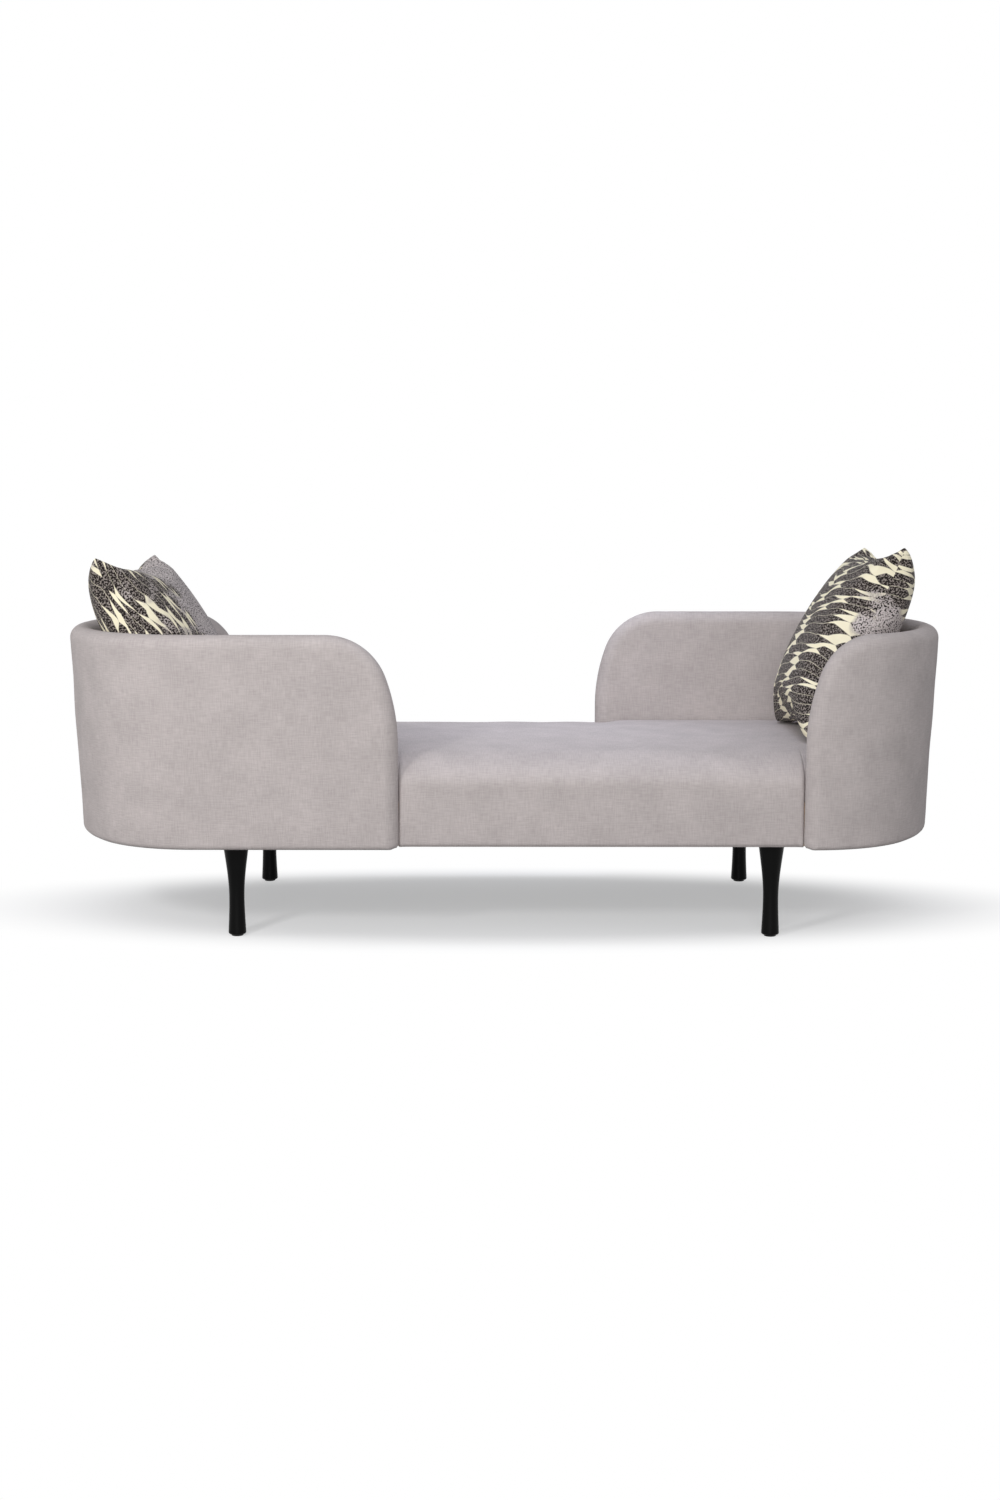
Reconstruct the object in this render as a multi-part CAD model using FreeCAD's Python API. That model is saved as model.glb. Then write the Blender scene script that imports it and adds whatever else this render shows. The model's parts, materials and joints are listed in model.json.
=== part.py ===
import FreeCAD, Part
import math
import os
from FreeCAD import Matrix, Vector

# Double-ended chaise longue, in millimetres.
# The origin is on the floor under the middle of the seat: +X to the right end, +Y to the back, +Z up.
# The left end has its long arm in front, the right end has it at the back.
# So each end is the other one turned half round.

# Overall size
HALF_LENGTH = 1044.0
HALF_DEPTH = 436.0
RIM_Z = 702.0
BASE_Z = 214.0
FLARE = 22.0
CORNER_RADIUS = 297.0
END_RADIUS = 537.0

# Wall of an end: layers by their depth inside the outer face
WALL = 60.0
FABRIC = 2.0
LAYER_GAP = 0.3
OUTER_SKIN = (12.0, 16.0)
CORE = (16.2, 33.8)
INNER_SKIN = (34.0, 38.0)
RIM_ROLL = 29.0
HEM_ROLL = 12.0
EDGE_PAD = 22.0

# Arms: where their noses end, and the two tangent arcs of their upper corner
LONG_NOSE_X = -238.0
SHORT_NOSE_X = -682.0
CORNER_ARC = 145.0
NOSE_ARC = 440.0
CORNER_SWEEP = math.radians(70.0)

# Frame inside an end
FRAME_Z = BASE_Z + FABRIC + LAYER_GAP
BOTTOM_RAIL_HEIGHT = 55.0
TOP_RAIL_HEIGHT = 60.0
UPRIGHT_WIDTH = 60.0
STRAIGHT_UPRIGHTS_X = (-286.0, -480.0)
CURVED_UPRIGHTS_DEG = (45.0, 90.0, 135.0)
SHORT_UPRIGHT_X = -734.0
BOLT_Z = FRAME_Z + BOTTOM_RAIL_HEIGHT / 2

# Seat frame
RAIL = (38.2, 60.0)
RAIL_Z = 219.0
RAIL_TOP = 319.0
CROSS_RAILS_X = (-540.0, -180.0, 180.0, 540.0)
CROSS_RAIL_THICK = 24.0
CROSS_RAIL_TOP = 294.0
TENON_THICK = 12.0
TENON_SHOULDER = 14.0
DOWEL_RADIUS = 5.0
DOWEL_LENGTH = 60.0
DOWELS_Z = (246.0, 292.0)

# Legs and their fixings
LEG_X = 616.0
LEG_Y = 326.0
LEG_TOP_Z = 215.0
LEG_TOP_RADIUS = 29.8
LEG_WAIST_RADIUS = 17.5
LEG_WAIST_Z = 90.0
LEG_FOOT_RADIUS = 20.5
LEG_FOOT_EDGE = 4.0
LEG_TOP_PULL = (-16.0, -120.0)
LEG_WAIST_PULL = (0.0, -130.0)
LEG_FOOT_PULL = (4.0, -80.0)
GLIDE_THICK = 4.0
GLIDE_RADIUS = 14.0
GLIDE_EDGE = 1.0
GLIDE_STEM_RADIUS = 3.0
GLIDE_STEM = 12.0
BLOCK_SIZE_X = 84.0
BLOCK_DEPTH = 56.0
BLOCK_HEIGHT = 60.0
PLATE_SIZE = 60.0
PLATE_CORNER = 6.0
PLATE_SCREW_OFFSET = 22.0
SCREW_RADIUS = 2.0
SCREW_HEAD_RADIUS = 4.0
SCREW_LENGTH = 26.0
HANGER_RADIUS = 4.0
HANGER_SPAN = (172.0, 246.0)
HANGER_CLEAR = 1.0
HOLE_PLAY = 0.15

# Bolts that hold an end to the seat frame
BOLT_RADIUS = 4.0
BOLT_HEAD_RADIUS = 7.5
BOLT_HEAD_THICK = 5.5
WASHER_RADIUS = 12.0
WASHER_THICK = 2.0
WASHER_STANDOFF = 0.5
TEE_RECESS = 0.5
TEE_FLANGE_RADIUS = 11.0
TEE_FLANGE_THICK = 2.0
TEE_BARREL_RADIUS = 6.0
TEE_BARREL = 12.0

# Suspension
STRAP_WIDTH = 60.0
STRAP_THICK = 2.0
STRAP_PLAY = 0.1
STRAP_PITCH = 128.0
CROSS_STRAPS = 11
LONG_STRAPS_Y = (-210.0, -70.0, 70.0, 210.0)
STRAP_INSET = 42.0
FELT_THICK = 3.0

# Seat
SEAT_TOP = 429.0
SEAT_CROWN = 9.0
SEAT_FACE_Y = 388.0
SEAT_ROLL = 80.0
SEAT_GAP = 1.5
SEAT_LOW = 322.0
FOAM_LOW = 327.0
NOSE_GAP = 2.0
ROLL_FADE = 120.0
ROLL_VANISH = 0.02
APRON_Z = 217.0
APRON_TURN = 22.0
DUST_INSET = 51.0
DUST_THICK = 1.0
DUST_CLEAR = 1.0

# Scatter cushions
CUSHION_MIDDLE = 225.0
CUSHION_HALF_THICK = 107.0
CUSHION_CLOTH = 1.5
CUSHION_SEAM = 6.0
CUSHION_LEVELS = (0.0, 0.2, 0.45, 0.7, 0.88, 0.97)
CUSHION_CROWN_POWER = 2.5
CUSHION_SIDE_POWER = 0.5
CUSHION_ROUND = 0.72
CUSHION_EAR = 0.36
RIGHT_CUSHION = {"centre": (833.0, 48.0, 647.0), "lean": 28.4, "turn": 1.1, "roll": -2.3, "side": 1}
LEFT_CUSHION = {"centre": (-821.0, -42.0, 643.2), "lean": 29.6, "turn": 5.4, "roll": 1.2, "side": -1}

# Working values: past every edge, a cut's overrun, a small distance, the slant of a face that looks sideways
FAR = 1500.0
OVERRUN = 1.0
NEAR = 0.01
SIDEWAYS = 0.9
TEE_FLANGE_Z = -CORE[0] - TEE_RECESS - TEE_FLANGE_THICK
SWEEP_COS = (HALF_DEPTH - CORNER_RADIUS) / (END_RADIUS - CORNER_RADIUS)
SWEEP = math.acos(SWEEP_COS)
STRAIGHT_X = HALF_LENGTH - END_RADIUS + (END_RADIUS - CORNER_RADIUS) * math.sin(SWEEP)
CORNER_Y = HALF_DEPTH - CORNER_RADIUS
END_X = HALF_LENGTH - END_RADIUS
LEAN = math.atan(FLARE / (RIM_Z - BASE_Z))


def drift(z):
    """How far the flared outer face stands outside the rim's plan line at height z: negative below it."""
    return FLARE * (z - RIM_Z) / (RIM_Z - BASE_Z)


def box(low, high):
    """Box between two opposite corners."""
    size = [b - a for a, b in zip(low, high)]
    return Part.makeBox(*size, Vector(*low))


def turned(shape):
    """The same shape turned half round about the vertical through the origin."""
    copy = shape.copy()
    copy.rotate(Vector(0, 0, 0), Vector(0, 0, 1), 180)
    return copy


def revolve(points):
    """Solid of revolution about Z from (radius, z) points, closed along the axis."""
    wire = Part.makePolygon([Vector(r, 0, z) for r, z in points + points[:1]])
    return Part.Face(wire).revolve(Vector(0, 0, 0), Vector(0, 0, 1), 360)


def plan_wire(inset, z):
    """Closed plan line at height z, a set inset from the outer face: two sides and three arcs at each end."""
    grow = drift(z) - inset
    corner, end = CORNER_RADIUS + grow, END_RADIUS + grow

    def on_corner(angle):
        return Vector(STRAIGHT_X + corner * math.sin(angle), -CORNER_Y - corner * math.cos(angle), z)

    front = [on_corner(0), on_corner(SWEEP / 2), on_corner(SWEEP)]
    back = [Vector(p.x, -p.y, z) for p in reversed(front)]
    tip = Vector(END_X + end, 0, z)
    right = [Part.Arc(*front), Part.Arc(front[2], tip, back[0]), Part.Arc(*back)]
    half = [arc.toShape() for arc in right]
    half.append(Part.LineSegment(back[2], Vector(-front[0].x, back[2].y, z)).toShape())
    return Part.Wire(half + [turned(edge) for edge in half])


def tapered(inset, low, high):
    """Solid of the whole plan whose sides stay a set distance inside the flared outer face."""
    return Part.makeLoft([plan_wire(inset, low), plan_wire(inset, high)], True, True)


def ring(outer, inner, low, high):
    """Wall round the whole plan between two depths inside the outer face."""
    return tapered(outer, low, high).cut(tapered(inner, low - OVERRUN, high + OVERRUN))


def beyond_arm(nose_x, edge):
    """Everything past an arm's nose and above its rounded corner, as a face in the XZ plane."""
    corner, nose = CORNER_ARC - edge, NOSE_ARC - edge
    run = CORNER_ARC * math.sin(CORNER_SWEEP) + NOSE_ARC * (1 - math.sin(CORNER_SWEEP))
    top_centre = Vector(nose_x - run, 0, RIM_Z - CORNER_ARC)
    aim = Vector(math.sin(CORNER_SWEEP), 0, math.cos(CORNER_SWEEP))
    nose_centre = top_centre + aim * (CORNER_ARC - NOSE_ARC)

    def at(centre, radius, angle):
        return centre + Vector(math.sin(angle), 0, math.cos(angle)) * radius

    top = at(top_centre, corner, 0)
    joint = at(top_centre, corner, CORNER_SWEEP)
    side = at(nose_centre, nose, math.pi / 2)
    low = Vector(side.x, 0, BASE_Z - WALL)
    high_z = RIM_Z + WALL
    outside = [low, Vector(FAR, 0, low.z), Vector(FAR, 0, high_z), Vector(top.x, 0, high_z), top]
    edges = [Part.Arc(top, at(top_centre, corner, CORNER_SWEEP / 2), joint).toShape()]
    edges.append(Part.Arc(joint, at(nose_centre, nose, (CORNER_SWEEP + math.pi / 2) / 2), side).toShape())
    edges += [Part.LineSegment(a, b).toShape() for a, b in zip([side] + outside[:-1], outside)]
    return Part.Face(Part.Wire(edges))


def left_wall(outer, inner, edge, low):
    """Left end between two depths: long arm in front, short arm behind, edges drawn in."""
    wall = ring(outer, inner, low, RIM_Z - edge)
    reach = Vector(0, HALF_DEPTH, 0)
    clear = HALF_DEPTH / 4
    for nose_x, start in ((LONG_NOSE_X, -HALF_DEPTH - clear), (SHORT_NOSE_X, clear)):
        cutter = beyond_arm(nose_x, edge)
        cutter.translate(Vector(0, start, 0))
        wall = wall.cut(cutter.extrude(reach))
    return min(wall.Solids, key=lambda solid: solid.CenterOfMass.x)


def is_wall_face(face):
    """True on the flared inside and outside faces, false on the rim, the noses and the underside."""
    u0, u1, v0, v1 = face.ParameterRange
    normal = face.normalAt((u0 + u1) / 2, (v0 + v1) / 2)
    return face.Surface.TypeId == "Part::GeomCone" or abs(normal.y) > SIDEWAYS


def rounded_wall(skin):
    """Upholstered left end, a skin inside the fabric: the rim and noses are rolled over, the hem is eased."""
    low = BASE_Z + skin
    wall = left_wall(skin, WALL - skin, skin, low)
    rim = []
    for edge in wall.Edges:
        faces = wall.ancestorsOfType(edge, Part.Face)
        if sum(is_wall_face(face) for face in faces) == 1 and edge.BoundBox.ZMax > low + NEAR:
            rim.append(edge)
    wall = wall.makeFillet(RIM_ROLL - skin, rim)
    hem = [edge for edge in wall.Edges if edge.BoundBox.ZMax < low + NEAR]
    return wall.makeFillet(HEM_ROLL - skin, hem)


def wall_station(angle_deg):
    """Plan point on the left end's rim line and its outward normal: 0 faces front, 90 left, 180 back."""
    angle = math.radians(angle_deg)
    normal = Vector(-math.sin(angle), -math.cos(angle), 0)
    if SWEEP <= angle <= math.pi - SWEEP:
        return Vector(-END_X, 0, 0) + normal * END_RADIUS, normal
    side = -1 if angle < SWEEP else 1
    return Vector(-STRAIGHT_X, side * CORNER_Y, 0) + normal * CORNER_RADIUS, normal


def placed(shape, across, up, out, spot):
    """Shape carried so that its own X, Y and Z lie along three directions and its origin is at a spot."""
    rows = zip(across, up, out, spot)
    values = [value for row in rows for value in row]
    return shape.transformGeometry(Matrix(*values, 0, 0, 0, 1))


def along_wall(shape, point, normal, z, tilt=0.0):
    """Shape built about +Z carried so that +Z is the wall's outward normal at a plan point and height."""
    out = normal * math.cos(tilt) - Vector(0, 0, math.sin(tilt))
    across = Vector(0, 0, 1).cross(normal)
    return placed(shape, across, out.cross(across), out, Vector(point.x, point.y, z))


def bolt_stations():
    """Plan points and normals where bolts hold the left end to the seat frame, each under an upright."""
    straight = [(Vector(x, -HALF_DEPTH, 0), Vector(0, -1, 0)) for x in STRAIGHT_UPRIGHTS_X]
    return straight + [wall_station(angle) for angle in CURVED_UPRIGHTS_DEG]


def at_bolts(shape):
    """Copies of a shape at every bolt of the left end, with its z = 0 on the outer face."""
    copies = []
    for point, normal in bolt_stations():
        on_face = point + normal * drift(BOLT_Z)
        copies.append(along_wall(shape, on_face, normal, BOLT_Z, LEAN))
    return copies


def bolt():
    """Hexagon bolt with its washer, along +Z, ending inside its flanged nut."""
    head_z = -RAIL[1] - WASHER_STANDOFF - WASHER_THICK - BOLT_HEAD_THICK
    corners = [math.radians(60 * i) for i in range(7)]
    radius = BOLT_HEAD_RADIUS
    outline = [Vector(radius * math.cos(a), radius * math.sin(a), head_z) for a in corners]
    head = Part.Face(Part.makePolygon(outline)).extrude(Vector(0, 0, BOLT_HEAD_THICK))
    washer = Part.makeCylinder(WASHER_RADIUS, WASHER_THICK, Vector(0, 0, head_z + BOLT_HEAD_THICK))
    shank = Part.makeCylinder(BOLT_RADIUS, TEE_FLANGE_Z - head_z, Vector(0, 0, head_z))
    return head.fuse([washer, shank]).removeSplitter()


def tee_nut():
    """Flanged nut let into the outer side of the bottom rail, with its bore for the bolt."""
    low = Vector(0, 0, TEE_FLANGE_Z - TEE_BARREL)
    flange = Part.makeCylinder(TEE_FLANGE_RADIUS, TEE_FLANGE_THICK, Vector(0, 0, TEE_FLANGE_Z))
    barrel = Part.makeCylinder(TEE_BARREL_RADIUS, TEE_BARREL, low)
    bore = Part.makeCylinder(BOLT_RADIUS + HOLE_PLAY, TEE_BARREL + WALL, low)
    return flange.fuse(barrel).removeSplitter().cut(bore)


def bolt_holes():
    """Clearance holes for the left end's bolts."""
    return at_bolts(Part.makeCylinder(BOLT_RADIUS + HOLE_PLAY, 2 * WALL, Vector(0, 0, -2 * WALL)))


def tee_nut_seats():
    """Pockets for the left end's flanged nuts."""
    flange = Part.makeCylinder(TEE_FLANGE_RADIUS + HOLE_PLAY, WALL, Vector(0, 0, TEE_FLANGE_Z))
    depth = TEE_BARREL + HOLE_PLAY
    barrel = Part.makeCylinder(TEE_BARREL_RADIUS + HOLE_PLAY, depth, Vector(0, 0, TEE_FLANGE_Z - depth))
    return at_bolts(flange.fuse(barrel))


def uprights(core, low, high):
    """Uprights of the left end's frame, cut from its curved core between the bottom and top rails."""
    half = UPRIGHT_WIDTH / 2
    strip = box((-half, -FAR, -WALL), (half, FAR, WALL))
    places = bolt_stations() + [(Vector(SHORT_UPRIGHT_X, HALF_DEPTH, 0), Vector(0, 1, 0))]
    band = box((-FAR, -FAR, low), (0, FAR, high))
    middle = core.common(band)
    return Part.makeCompound([middle.common(along_wall(strip, p, n, RIM_Z / 2)) for p, n in places])


def end_pieces():
    """All pieces of the left end, by name."""
    core = left_wall(*CORE, EDGE_PAD, FRAME_Z)
    rail_top = FRAME_Z + BOTTOM_RAIL_HEIGHT
    top_low = RIM_Z - EDGE_PAD - TOP_RAIL_HEIGHT
    holes = bolt_holes()
    seats = tee_nut_seats()
    outer_skin = left_wall(*OUTER_SKIN, EDGE_PAD, FRAME_Z)
    inner_skin = left_wall(*INNER_SKIN, EDGE_PAD, FRAME_Z)
    layers = (OUTER_SKIN[0] - LAYER_GAP, INNER_SKIN[1] + LAYER_GAP)
    frame = left_wall(*layers, EDGE_PAD - LAYER_GAP, BASE_Z - OVERRUN)
    seat_side = ring(INNER_SKIN[1], WALL + EDGE_PAD, BASE_Z - EDGE_PAD, SEAT_LOW)
    cover_inside = rounded_wall(FABRIC)
    padding = rounded_wall(FABRIC + LAYER_GAP)
    return {
        "bottom_rail": core.common(box((-FAR, -FAR, 0), (FAR, FAR, rail_top))).cut(holes).cut(seats),
        "top_rail": core.common(box((-FAR, -FAR, top_low), (FAR, FAR, RIM_Z))),
        "uprights": uprights(core, rail_top, top_low),
        "outer_skin": outer_skin,
        "inner_skin": inner_skin.cut(holes),
        "foam": padding.cut([frame, seat_side]),
        "cover": rounded_wall(0.0).cut([cover_inside, seat_side]),
        "bolts": Part.makeCompound(at_bolts(bolt())),
        "tee_nuts": Part.makeCompound(at_bolts(tee_nut())),
    }


def leg():
    """Turned leg about Z: wide at the top, drawn in to a waist and spread again to an eased foot."""
    low = GLIDE_THICK
    neck = Vector(LEG_TOP_RADIUS, 0, LEG_TOP_Z)
    waist = Vector(LEG_WAIST_RADIUS, 0, LEG_WAIST_Z)
    foot = Vector(LEG_FOOT_RADIUS, 0, low + LEG_FOOT_EDGE)
    sole = Vector(LEG_FOOT_RADIUS - LEG_FOOT_EDGE, 0, low)
    ease = LEG_FOOT_EDGE * (1 - math.sqrt(0.5))
    side = Part.BSplineCurve()
    pulls = [Vector(r, 0, z) for r, z in (LEG_TOP_PULL, LEG_WAIST_PULL, LEG_FOOT_PULL)]
    side.interpolate(Points=[neck, waist, foot], Tangents=pulls, TangentFlags=[True] * len(pulls))
    edges = [side.toShape()]
    edges.append(Part.Arc(foot, Vector(LEG_FOOT_RADIUS - ease, 0, low + ease), sole).toShape())
    edges.append(Part.LineSegment(sole, Vector(0, 0, low)).toShape())
    edges.append(Part.LineSegment(Vector(0, 0, low), Vector(0, 0, LEG_TOP_Z)).toShape())
    edges.append(Part.LineSegment(Vector(0, 0, LEG_TOP_Z), neck).toShape())
    body = Part.Face(Part.Wire(edges)).revolve(Vector(0, 0, 0), Vector(0, 0, 1), 360)
    bore = Part.makeCylinder(HANGER_RADIUS + HOLE_PLAY, LEG_TOP_Z, Vector(0, 0, HANGER_SPAN[0] - HOLE_PLAY))
    stem = Part.makeCylinder(GLIDE_STEM_RADIUS + HOLE_PLAY, GLIDE_STEM + HOLE_PLAY, Vector(0, 0, low))
    return body.cut([bore, stem])


def glide():
    """Nylon glide with an eased edge, nailed into the foot by its stem."""
    stem_top = GLIDE_THICK + GLIDE_STEM
    disc = [(0, 0), (GLIDE_RADIUS - GLIDE_EDGE, 0), (GLIDE_RADIUS, GLIDE_EDGE), (GLIDE_RADIUS, GLIDE_THICK)]
    return revolve(disc + [(GLIDE_STEM_RADIUS, GLIDE_THICK), (GLIDE_STEM_RADIUS, stem_top), (0, stem_top)])


def plate_screw_spots():
    """Offsets of a leg plate's four screws."""
    offsets = (-PLATE_SCREW_OFFSET, PLATE_SCREW_OFFSET)
    return [(x, y) for x in offsets for y in offsets]


def plate_screw(play):
    """Countersunk screw pointing up, its head flush under the plate; play widens it into its hole."""
    head, shank = SCREW_HEAD_RADIUS + play, SCREW_RADIUS + play
    cone = LEG_TOP_Z + SCREW_HEAD_RADIUS - SCREW_RADIUS
    tip = LEG_TOP_Z + SCREW_LENGTH + play
    return revolve([(0, LEG_TOP_Z), (head, LEG_TOP_Z), (shank, cone), (shank, tip - shank), (0, tip)])


def screw_set(play):
    """A leg plate's four screws, or their holes."""
    screws = []
    for x, y in plate_screw_spots():
        screw = plate_screw(play)
        screw.translate(Vector(x, y, 0))
        screws.append(screw)
    return screws


def leg_plate():
    """Steel plate with rounded corners, a threaded middle and four countersunk holes."""
    half = PLATE_SIZE / 2
    plate = box((-half, -half, LEG_TOP_Z), (half, half, RAIL_Z))
    upright_edges = [edge for edge in plate.Edges if edge.BoundBox.ZLength > NEAR]
    plate = plate.makeFillet(PLATE_CORNER, upright_edges)
    bore = Part.makeCylinder(HANGER_RADIUS + HOLE_PLAY, RAIL_Z, Vector(0, 0, 0))
    return plate.cut([bore] + screw_set(HOLE_PLAY))


def hanger_bolt():
    """Double-ended bolt that joins a leg to its plate, chamfered at both ends."""
    low, high = HANGER_SPAN
    chamfer = HANGER_RADIUS / 4
    return revolve([(0, low), (HANGER_RADIUS - chamfer, low), (HANGER_RADIUS, low + chamfer),
                    (HANGER_RADIUS, high - chamfer), (HANGER_RADIUS - chamfer, high), (0, high)])


def leg_places():
    """Name and position of every leg."""
    return {
        "front_left": Vector(-LEG_X, -LEG_Y, 0),
        "front_right": Vector(LEG_X, -LEG_Y, 0),
        "back_left": Vector(-LEG_X, LEG_Y, 0),
        "back_right": Vector(LEG_X, LEG_Y, 0),
    }


def leg_blocks(rails):
    """Hardwood leg blocks in their places, bored for the fixings, each cut flush to the rail outside it."""
    half = BLOCK_DEPTH / 2
    bore_depth = HANGER_SPAN[1] - RAIL_Z + HANGER_CLEAR
    bore = Part.makeCylinder(HANGER_RADIUS + HANGER_CLEAR, bore_depth, Vector(0, 0, RAIL_Z))
    blocks = {}
    for place, spot in leg_places().items():
        outward = half if spot.y > 0 else -half
        low = (-BLOCK_SIZE_X / 2, min(-half, 2 * outward), RAIL_Z)
        high = (BLOCK_SIZE_X / 2, max(half, 2 * outward), RAIL_Z + BLOCK_HEIGHT)
        block = box(low, high).cut([bore] + screw_set(HOLE_PLAY))
        block.translate(spot)
        block = block.cut(rails)
        blocks["leg_block_" + place] = min(block.Solids, key=lambda solid: abs(solid.CenterOfMass.y))
    return blocks


def seat_ring():
    """The rail ring before it is split into straight rails and curved end rails, with its bolt holes."""
    holes = bolt_holes()
    return ring(*RAIL, RAIL_Z, RAIL_TOP).cut(holes + [turned(hole) for hole in holes])


def tenon(x):
    """The two tenons of a cross rail, as one bar that reaches into both rails."""
    middle = (RAIL[0] + RAIL[1]) / 2
    reach = HALF_DEPTH + drift(RAIL_Z) - middle
    half = TENON_THICK / 2
    low, high = RAIL_Z + TENON_SHOULDER, CROSS_RAIL_TOP - TENON_SHOULDER
    return box((x - half, -reach, low), (x + half, reach, high))


def cross_rail(x, rails):
    """Cross rail with bevelled shoulders and a tenon into each long rail."""
    half = CROSS_RAIL_THICK / 2
    bar = box((x - half, -HALF_DEPTH, RAIL_Z), (x + half, HALF_DEPTH, CROSS_RAIL_TOP)).cut(rails)
    bar = min(bar.Solids, key=lambda solid: abs(solid.CenterOfMass.y))
    return bar.fuse(tenon(x)).removeSplitter()


def dowels(play):
    """Dowels across the four joints between straight and curved rails; play widens them into their holes."""
    middle = (RAIL[0] + RAIL[1]) / 2
    radius, length = DOWEL_RADIUS + play, DOWEL_LENGTH + 2 * play
    pegs = []
    for x in (-STRAIGHT_X, STRAIGHT_X):
        for side in (-1, 1):
            for z in DOWELS_Z:
                y = side * (HALF_DEPTH + drift(z) - middle)
                pegs.append(Part.makeCylinder(radius, length, Vector(x - length / 2, y, z), Vector(1, 0, 0)))
    return pegs


def seat_frame_pieces():
    """Rails, curved end rails, cross rails, leg blocks and dowels of the seat frame."""
    plain = ring(*RAIL, RAIL_Z, RAIL_TOP)
    mortised = seat_ring().cut([tenon(x) for x in CROSS_RAILS_X] + dowels(HOLE_PLAY))
    straight = box((-STRAIGHT_X, -FAR, 0), (STRAIGHT_X, FAR, RIM_Z))
    rails = sorted(mortised.common(straight).Solids, key=lambda solid: solid.CenterOfMass.y)
    bows = sorted(mortised.cut(straight).Solids, key=lambda solid: solid.CenterOfMass.x)
    pieces = {"front_rail": rails[0], "back_rail": rails[1]}
    pieces.update({"left_bow_rail": bows[0], "right_bow_rail": bows[1]})
    for number, x in enumerate(CROSS_RAILS_X, 1):
        pieces["cross_rail_%d" % number] = cross_rail(x, plain)
    pieces.update(leg_blocks(plain))
    pieces["rail_dowels"] = Part.makeCompound(dowels(0.0))
    return pieces


def leg_pieces():
    """Legs, plates and glides in their places, with the screws and hanger bolts as two groups."""
    pieces = {}
    screws, bolts = [], []
    for place, spot in leg_places().items():
        for name, shape in (("leg_", leg()), ("leg_plate_", leg_plate()), ("foot_glide_", glide())):
            shape.translate(spot)
            pieces[name + place] = shape
        for shape, group in [(screw, screws) for screw in screw_set(0.0)] + [(hanger_bolt(), bolts)]:
            shape.translate(spot)
            group.append(shape)
    pieces["plate_screws"] = Part.makeCompound(screws)
    pieces["hanger_bolts"] = Part.makeCompound(bolts)
    return pieces


def strap_line(crossings, over_first):
    """Upper line of a long strap in the XZ plane: over and under the cross straps, flat on the end rails."""
    flat = STRAP_WIDTH / 2 + STRAP_THICK
    rest = RAIL_TOP + STRAP_THICK
    line = [Vector(-FAR, 0, rest), Vector(crossings[0] - STRAP_PITCH, 0, rest)]
    step = STRAP_THICK + STRAP_PLAY
    if not over_first:
        step = -step
    for x in crossings:
        line += [Vector(x - flat, 0, rest + step), Vector(x + flat, 0, rest + step)]
        step = -step
    return line + [Vector(crossings[-1] + STRAP_PITCH, 0, rest), Vector(FAR, 0, rest)]


def webbing():
    """Cross straps on the long rails, and long straps woven through them to the curved end rails."""
    first = -STRAP_PITCH * (CROSS_STRAPS - 1) / 2
    crossings = [first + STRAP_PITCH * i for i in range(CROSS_STRAPS)]
    reach = HALF_DEPTH + drift(RAIL_TOP) - STRAP_INSET
    half = STRAP_WIDTH / 2
    top = RAIL_TOP + STRAP_THICK
    cross = [box((x - half, -reach, RAIL_TOP), (x + half, reach, top)) for x in crossings]
    limit = tapered(STRAP_INSET, RAIL_TOP - WALL, RAIL_TOP + WALL)
    along = []
    for number, y in enumerate(LONG_STRAPS_Y):
        line = strap_line(crossings, number % 2 == 0)
        under = [point - Vector(0, 0, STRAP_THICK) for point in reversed(line)]
        strap = Part.Face(Part.makePolygon(line + under + line[:1]))
        strap.translate(Vector(0, y - half, 0))
        along.append(strap.extrude(Vector(0, STRAP_WIDTH, 0)).common(limit))
    return {"cross_webbing": Part.makeCompound(cross), "long_webbing": Part.makeCompound(along)}


def seat_roll(skin):
    """What the rolled front edge takes off a square-edged seat, as a wire in the YZ plane."""
    crown_radius = (SEAT_FACE_Y ** 2 + SEAT_CROWN ** 2) / (2 * SEAT_CROWN)
    crown_centre = Vector(0, 0, SEAT_TOP - crown_radius)
    across = SEAT_ROLL - SEAT_FACE_Y
    roll_centre = Vector(0, across, crown_centre.z + math.sqrt((crown_radius - SEAT_ROLL) ** 2 - across ** 2))
    aim = (roll_centre - crown_centre).normalize()
    radius = SEAT_ROLL - skin
    face = roll_centre - Vector(0, radius, 0)
    top = roll_centre + aim * radius
    middle = roll_centre + (aim - Vector(0, 1, 0)).normalize() * radius
    over = top + Vector(0, 0, SEAT_ROLL)
    corner = Vector(0, -SEAT_FACE_Y - SEAT_ROLL, over.z)
    edges = [Part.Arc(face, middle, top).toShape()]
    line = [top, over, corner, Vector(0, corner.y, face.z), face]
    edges += [Part.LineSegment(a, b).toShape() for a, b in zip(line, line[1:])]
    return Part.Wire(edges)


def roll_cutter(skin, low_x, high_x):
    """Cuts the rolled front edge between two noses, and fades out along the arms past them."""
    section = seat_roll(skin)
    vanish = Vector(0, -SEAT_FACE_Y - SEAT_ROLL / 2, SEAT_TOP + SEAT_ROLL / 2)
    shrink = Matrix()
    shrink.move(-vanish)
    shrink.scale(ROLL_VANISH, ROLL_VANISH, ROLL_VANISH)
    shrink.move(vanish)
    small = section.transformGeometry(shrink)

    def at(wire, x):
        copy = wire.copy()
        copy.translate(Vector(x, 0, 0))
        return copy

    fade_in = [at(small, low_x - ROLL_FADE), at(section, low_x)]
    fade_out = [at(section, high_x), at(small, high_x + ROLL_FADE)]
    return Part.makeLoft(fade_in + fade_out, True, True)


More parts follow.
